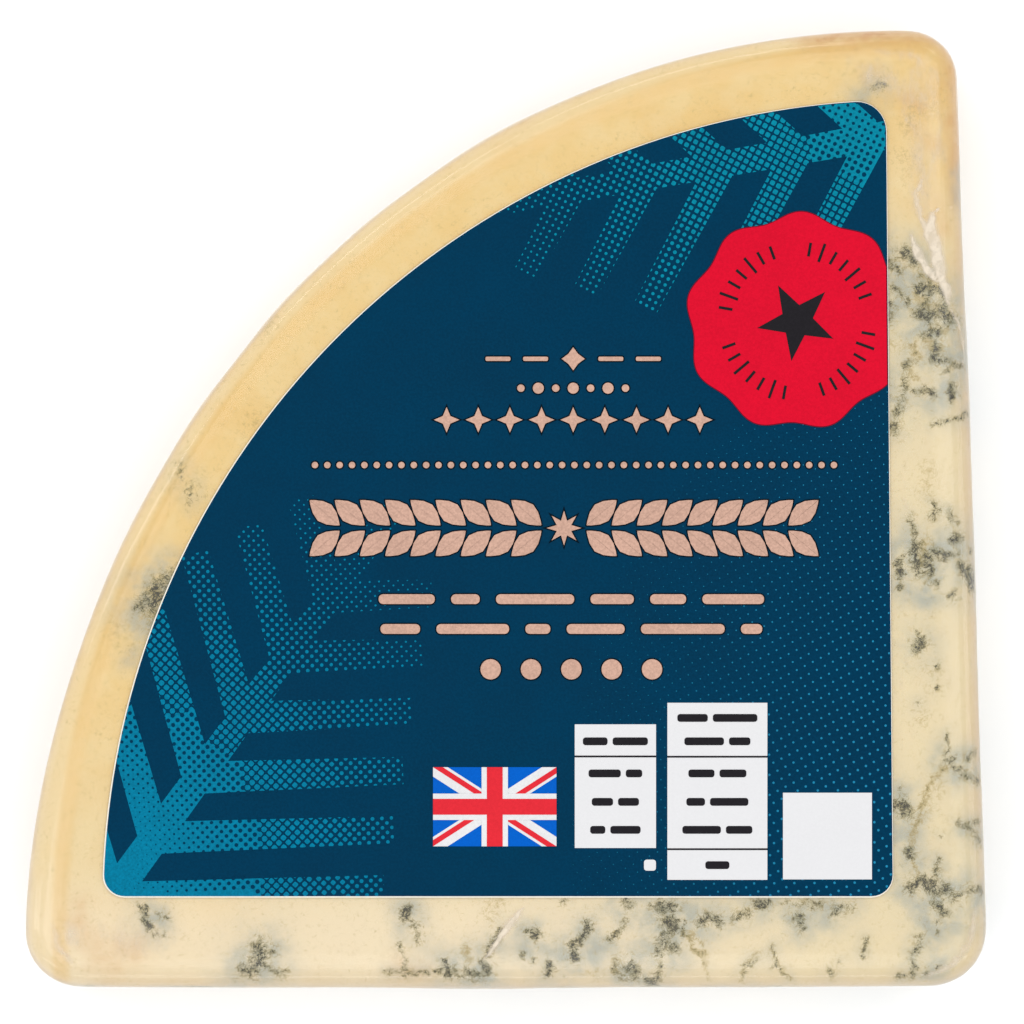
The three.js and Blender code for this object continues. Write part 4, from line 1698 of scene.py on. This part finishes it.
# Low strip lights round the wedge: their bearing in degrees from +X, and their share of the power.
STRIPS = (
    (100, 1.0),
    (128, 1.0),
    (156, 1.0),
    (184, 1.0),
    (225, 0.8),
    (270, 0.8),
    (320, 0.9),
    (0, 0.8),
    (50, 0.8),
)
STRIP_DISTANCE = 0.85
STRIP_RISE = math.radians(19)
STRIP_SIZE = (0.42, 0.10)

# The camera stands straight above this place, and the floor reaches this far from the middle.
CAMERA_X = 0.66 * MM
CAMERA_Y = -0.20 * MM
FLOOR_REACH = 4.0


class WEDGE_OT_stage(bpy.types.Operator):
    """Make the floor, the lights and the camera"""

    bl_idname = "wedge.stage"
    bl_label = "Floor, lights and camera"

    def execute(self, context):
        settings = context.scene.wedge_stage
        scene = context.scene
        scene.view_settings.view_transform = "Standard"
        scene.view_settings.look = "None"
        camera = bpy.data.cameras.new("camera")
        camera.lens = settings.lens
        camera.sensor_width = 36.0
        camera.clip_start = 0.05
        seat = bpy.data.objects.new("camera", camera)
        seat.location = (CAMERA_X, CAMERA_Y, settings.camera_height)
        scene.collection.objects.link(seat)
        scene.camera = seat

        body = bmesh.new()
        bmesh.ops.create_grid(body, x_segments=1, y_segments=1, size=FLOOR_REACH)
        mesh = finished_mesh("floor", body)
        floor = bpy.data.objects.new("floor", mesh)
        mesh.materials.append(floor_finish(settings))
        scene.collection.objects.link(floor)

        world = bpy.data.worlds.new("soft_sky")
        world.use_nodes = True
        sky = world.node_tree.nodes["Background"]
        sky.inputs["Color"].default_value = (1.0, 1.0, 1.0, 1.0)
        sky.inputs["Strength"].default_value = settings.sky
        scene.world = world

        for bearing in KEYS:
            place = self.around(bearing, KEY_DISTANCE, KEY_HEIGHT)
            self.add_light(f"key_{bearing}", place, KEY_SIZE, settings.key)
        for bearing, part in STRIPS:
            place = self.around(bearing, STRIP_DISTANCE, STRIP_DISTANCE * math.tan(STRIP_RISE))
            self.add_light(f"strip_{bearing}", place, STRIP_SIZE, settings.strip * part)
        return {"FINISHED"}

    def around(self, bearing, distance, height):
        """The place at a bearing in degrees, a distance and a height from the middle of the floor."""
        angle = math.radians(bearing)
        return Vector((math.cos(angle) * distance, math.sin(angle) * distance, height))

    def add_light(self, name, place, size, power):
        """A soft rectangular light that faces the wedge."""
        light = bpy.data.lights.new(name, "AREA")
        light.shape = "RECTANGLE"
        light.size, light.size_y = size
        light.energy = power
        lamp = bpy.data.objects.new(name, light)
        lamp.location = place
        lamp.visible_camera = False
        lamp.rotation_euler = (-place).to_track_quat("-Z", "Z").to_euler()
        bpy.context.scene.collection.objects.link(lamp)


# ---------------------------------------------------------------- panel and registration


OPERATORS = (
    WEDGE_OT_stage,
    WEDGE_OT_cheese,
    WEDGE_OT_film,
    WEDGE_OT_label,
    WEDGE_OT_halftone,
    WEDGE_OT_ornaments,
    WEDGE_OT_panels,
    WEDGE_OT_flag,
    WEDGE_OT_seal,
)

SETTINGS = {
    "wedge_cheese": CheeseSettings,
    "wedge_film": FilmSettings,
    "wedge_label": LabelSettings,
    "wedge_stage": StageSettings,
}


class WEDGE_PT_panel(bpy.types.Panel):
    """Lists the pieces of the wedge and their settings"""

    bl_idname = "WEDGE_PT_panel"
    bl_label = "Cheese Wedge"
    bl_space_type = "VIEW_3D"
    bl_region_type = "UI"
    bl_category = "Cheese Wedge"

    def draw(self, context):
        column = self.layout.column(align=True)
        for operator in OPERATORS:
            column.operator(operator.bl_idname)
        for name, group in SETTINGS.items():
            box = self.layout.box()
            settings = getattr(context.scene, name)
            for prop in group.__annotations__:
                box.prop(settings, prop)


def register():
    """Registers the settings, operators and panel."""
    for group in SETTINGS.values():
        bpy.utils.register_class(group)
    for operator in OPERATORS:
        bpy.utils.register_class(operator)
    bpy.utils.register_class(WEDGE_PT_panel)
    for name, group in SETTINGS.items():
        setattr(bpy.types.Scene, name, bpy.props.PointerProperty(type=group))


def unregister():
    """Takes away what register added."""
    for name in SETTINGS:
        delattr(bpy.types.Scene, name)
    bpy.utils.unregister_class(WEDGE_PT_panel)
    for operator in reversed(OPERATORS):
        bpy.utils.unregister_class(operator)
    for group in reversed(SETTINGS.values()):
        bpy.utils.unregister_class(group)


def main():
    """Builds the whole wedge."""
    register()
    for operator in OPERATORS:
        category, name = operator.bl_idname.split(".")
        getattr(getattr(bpy.ops, category), name)()


if __name__ == "__main__":
    main()
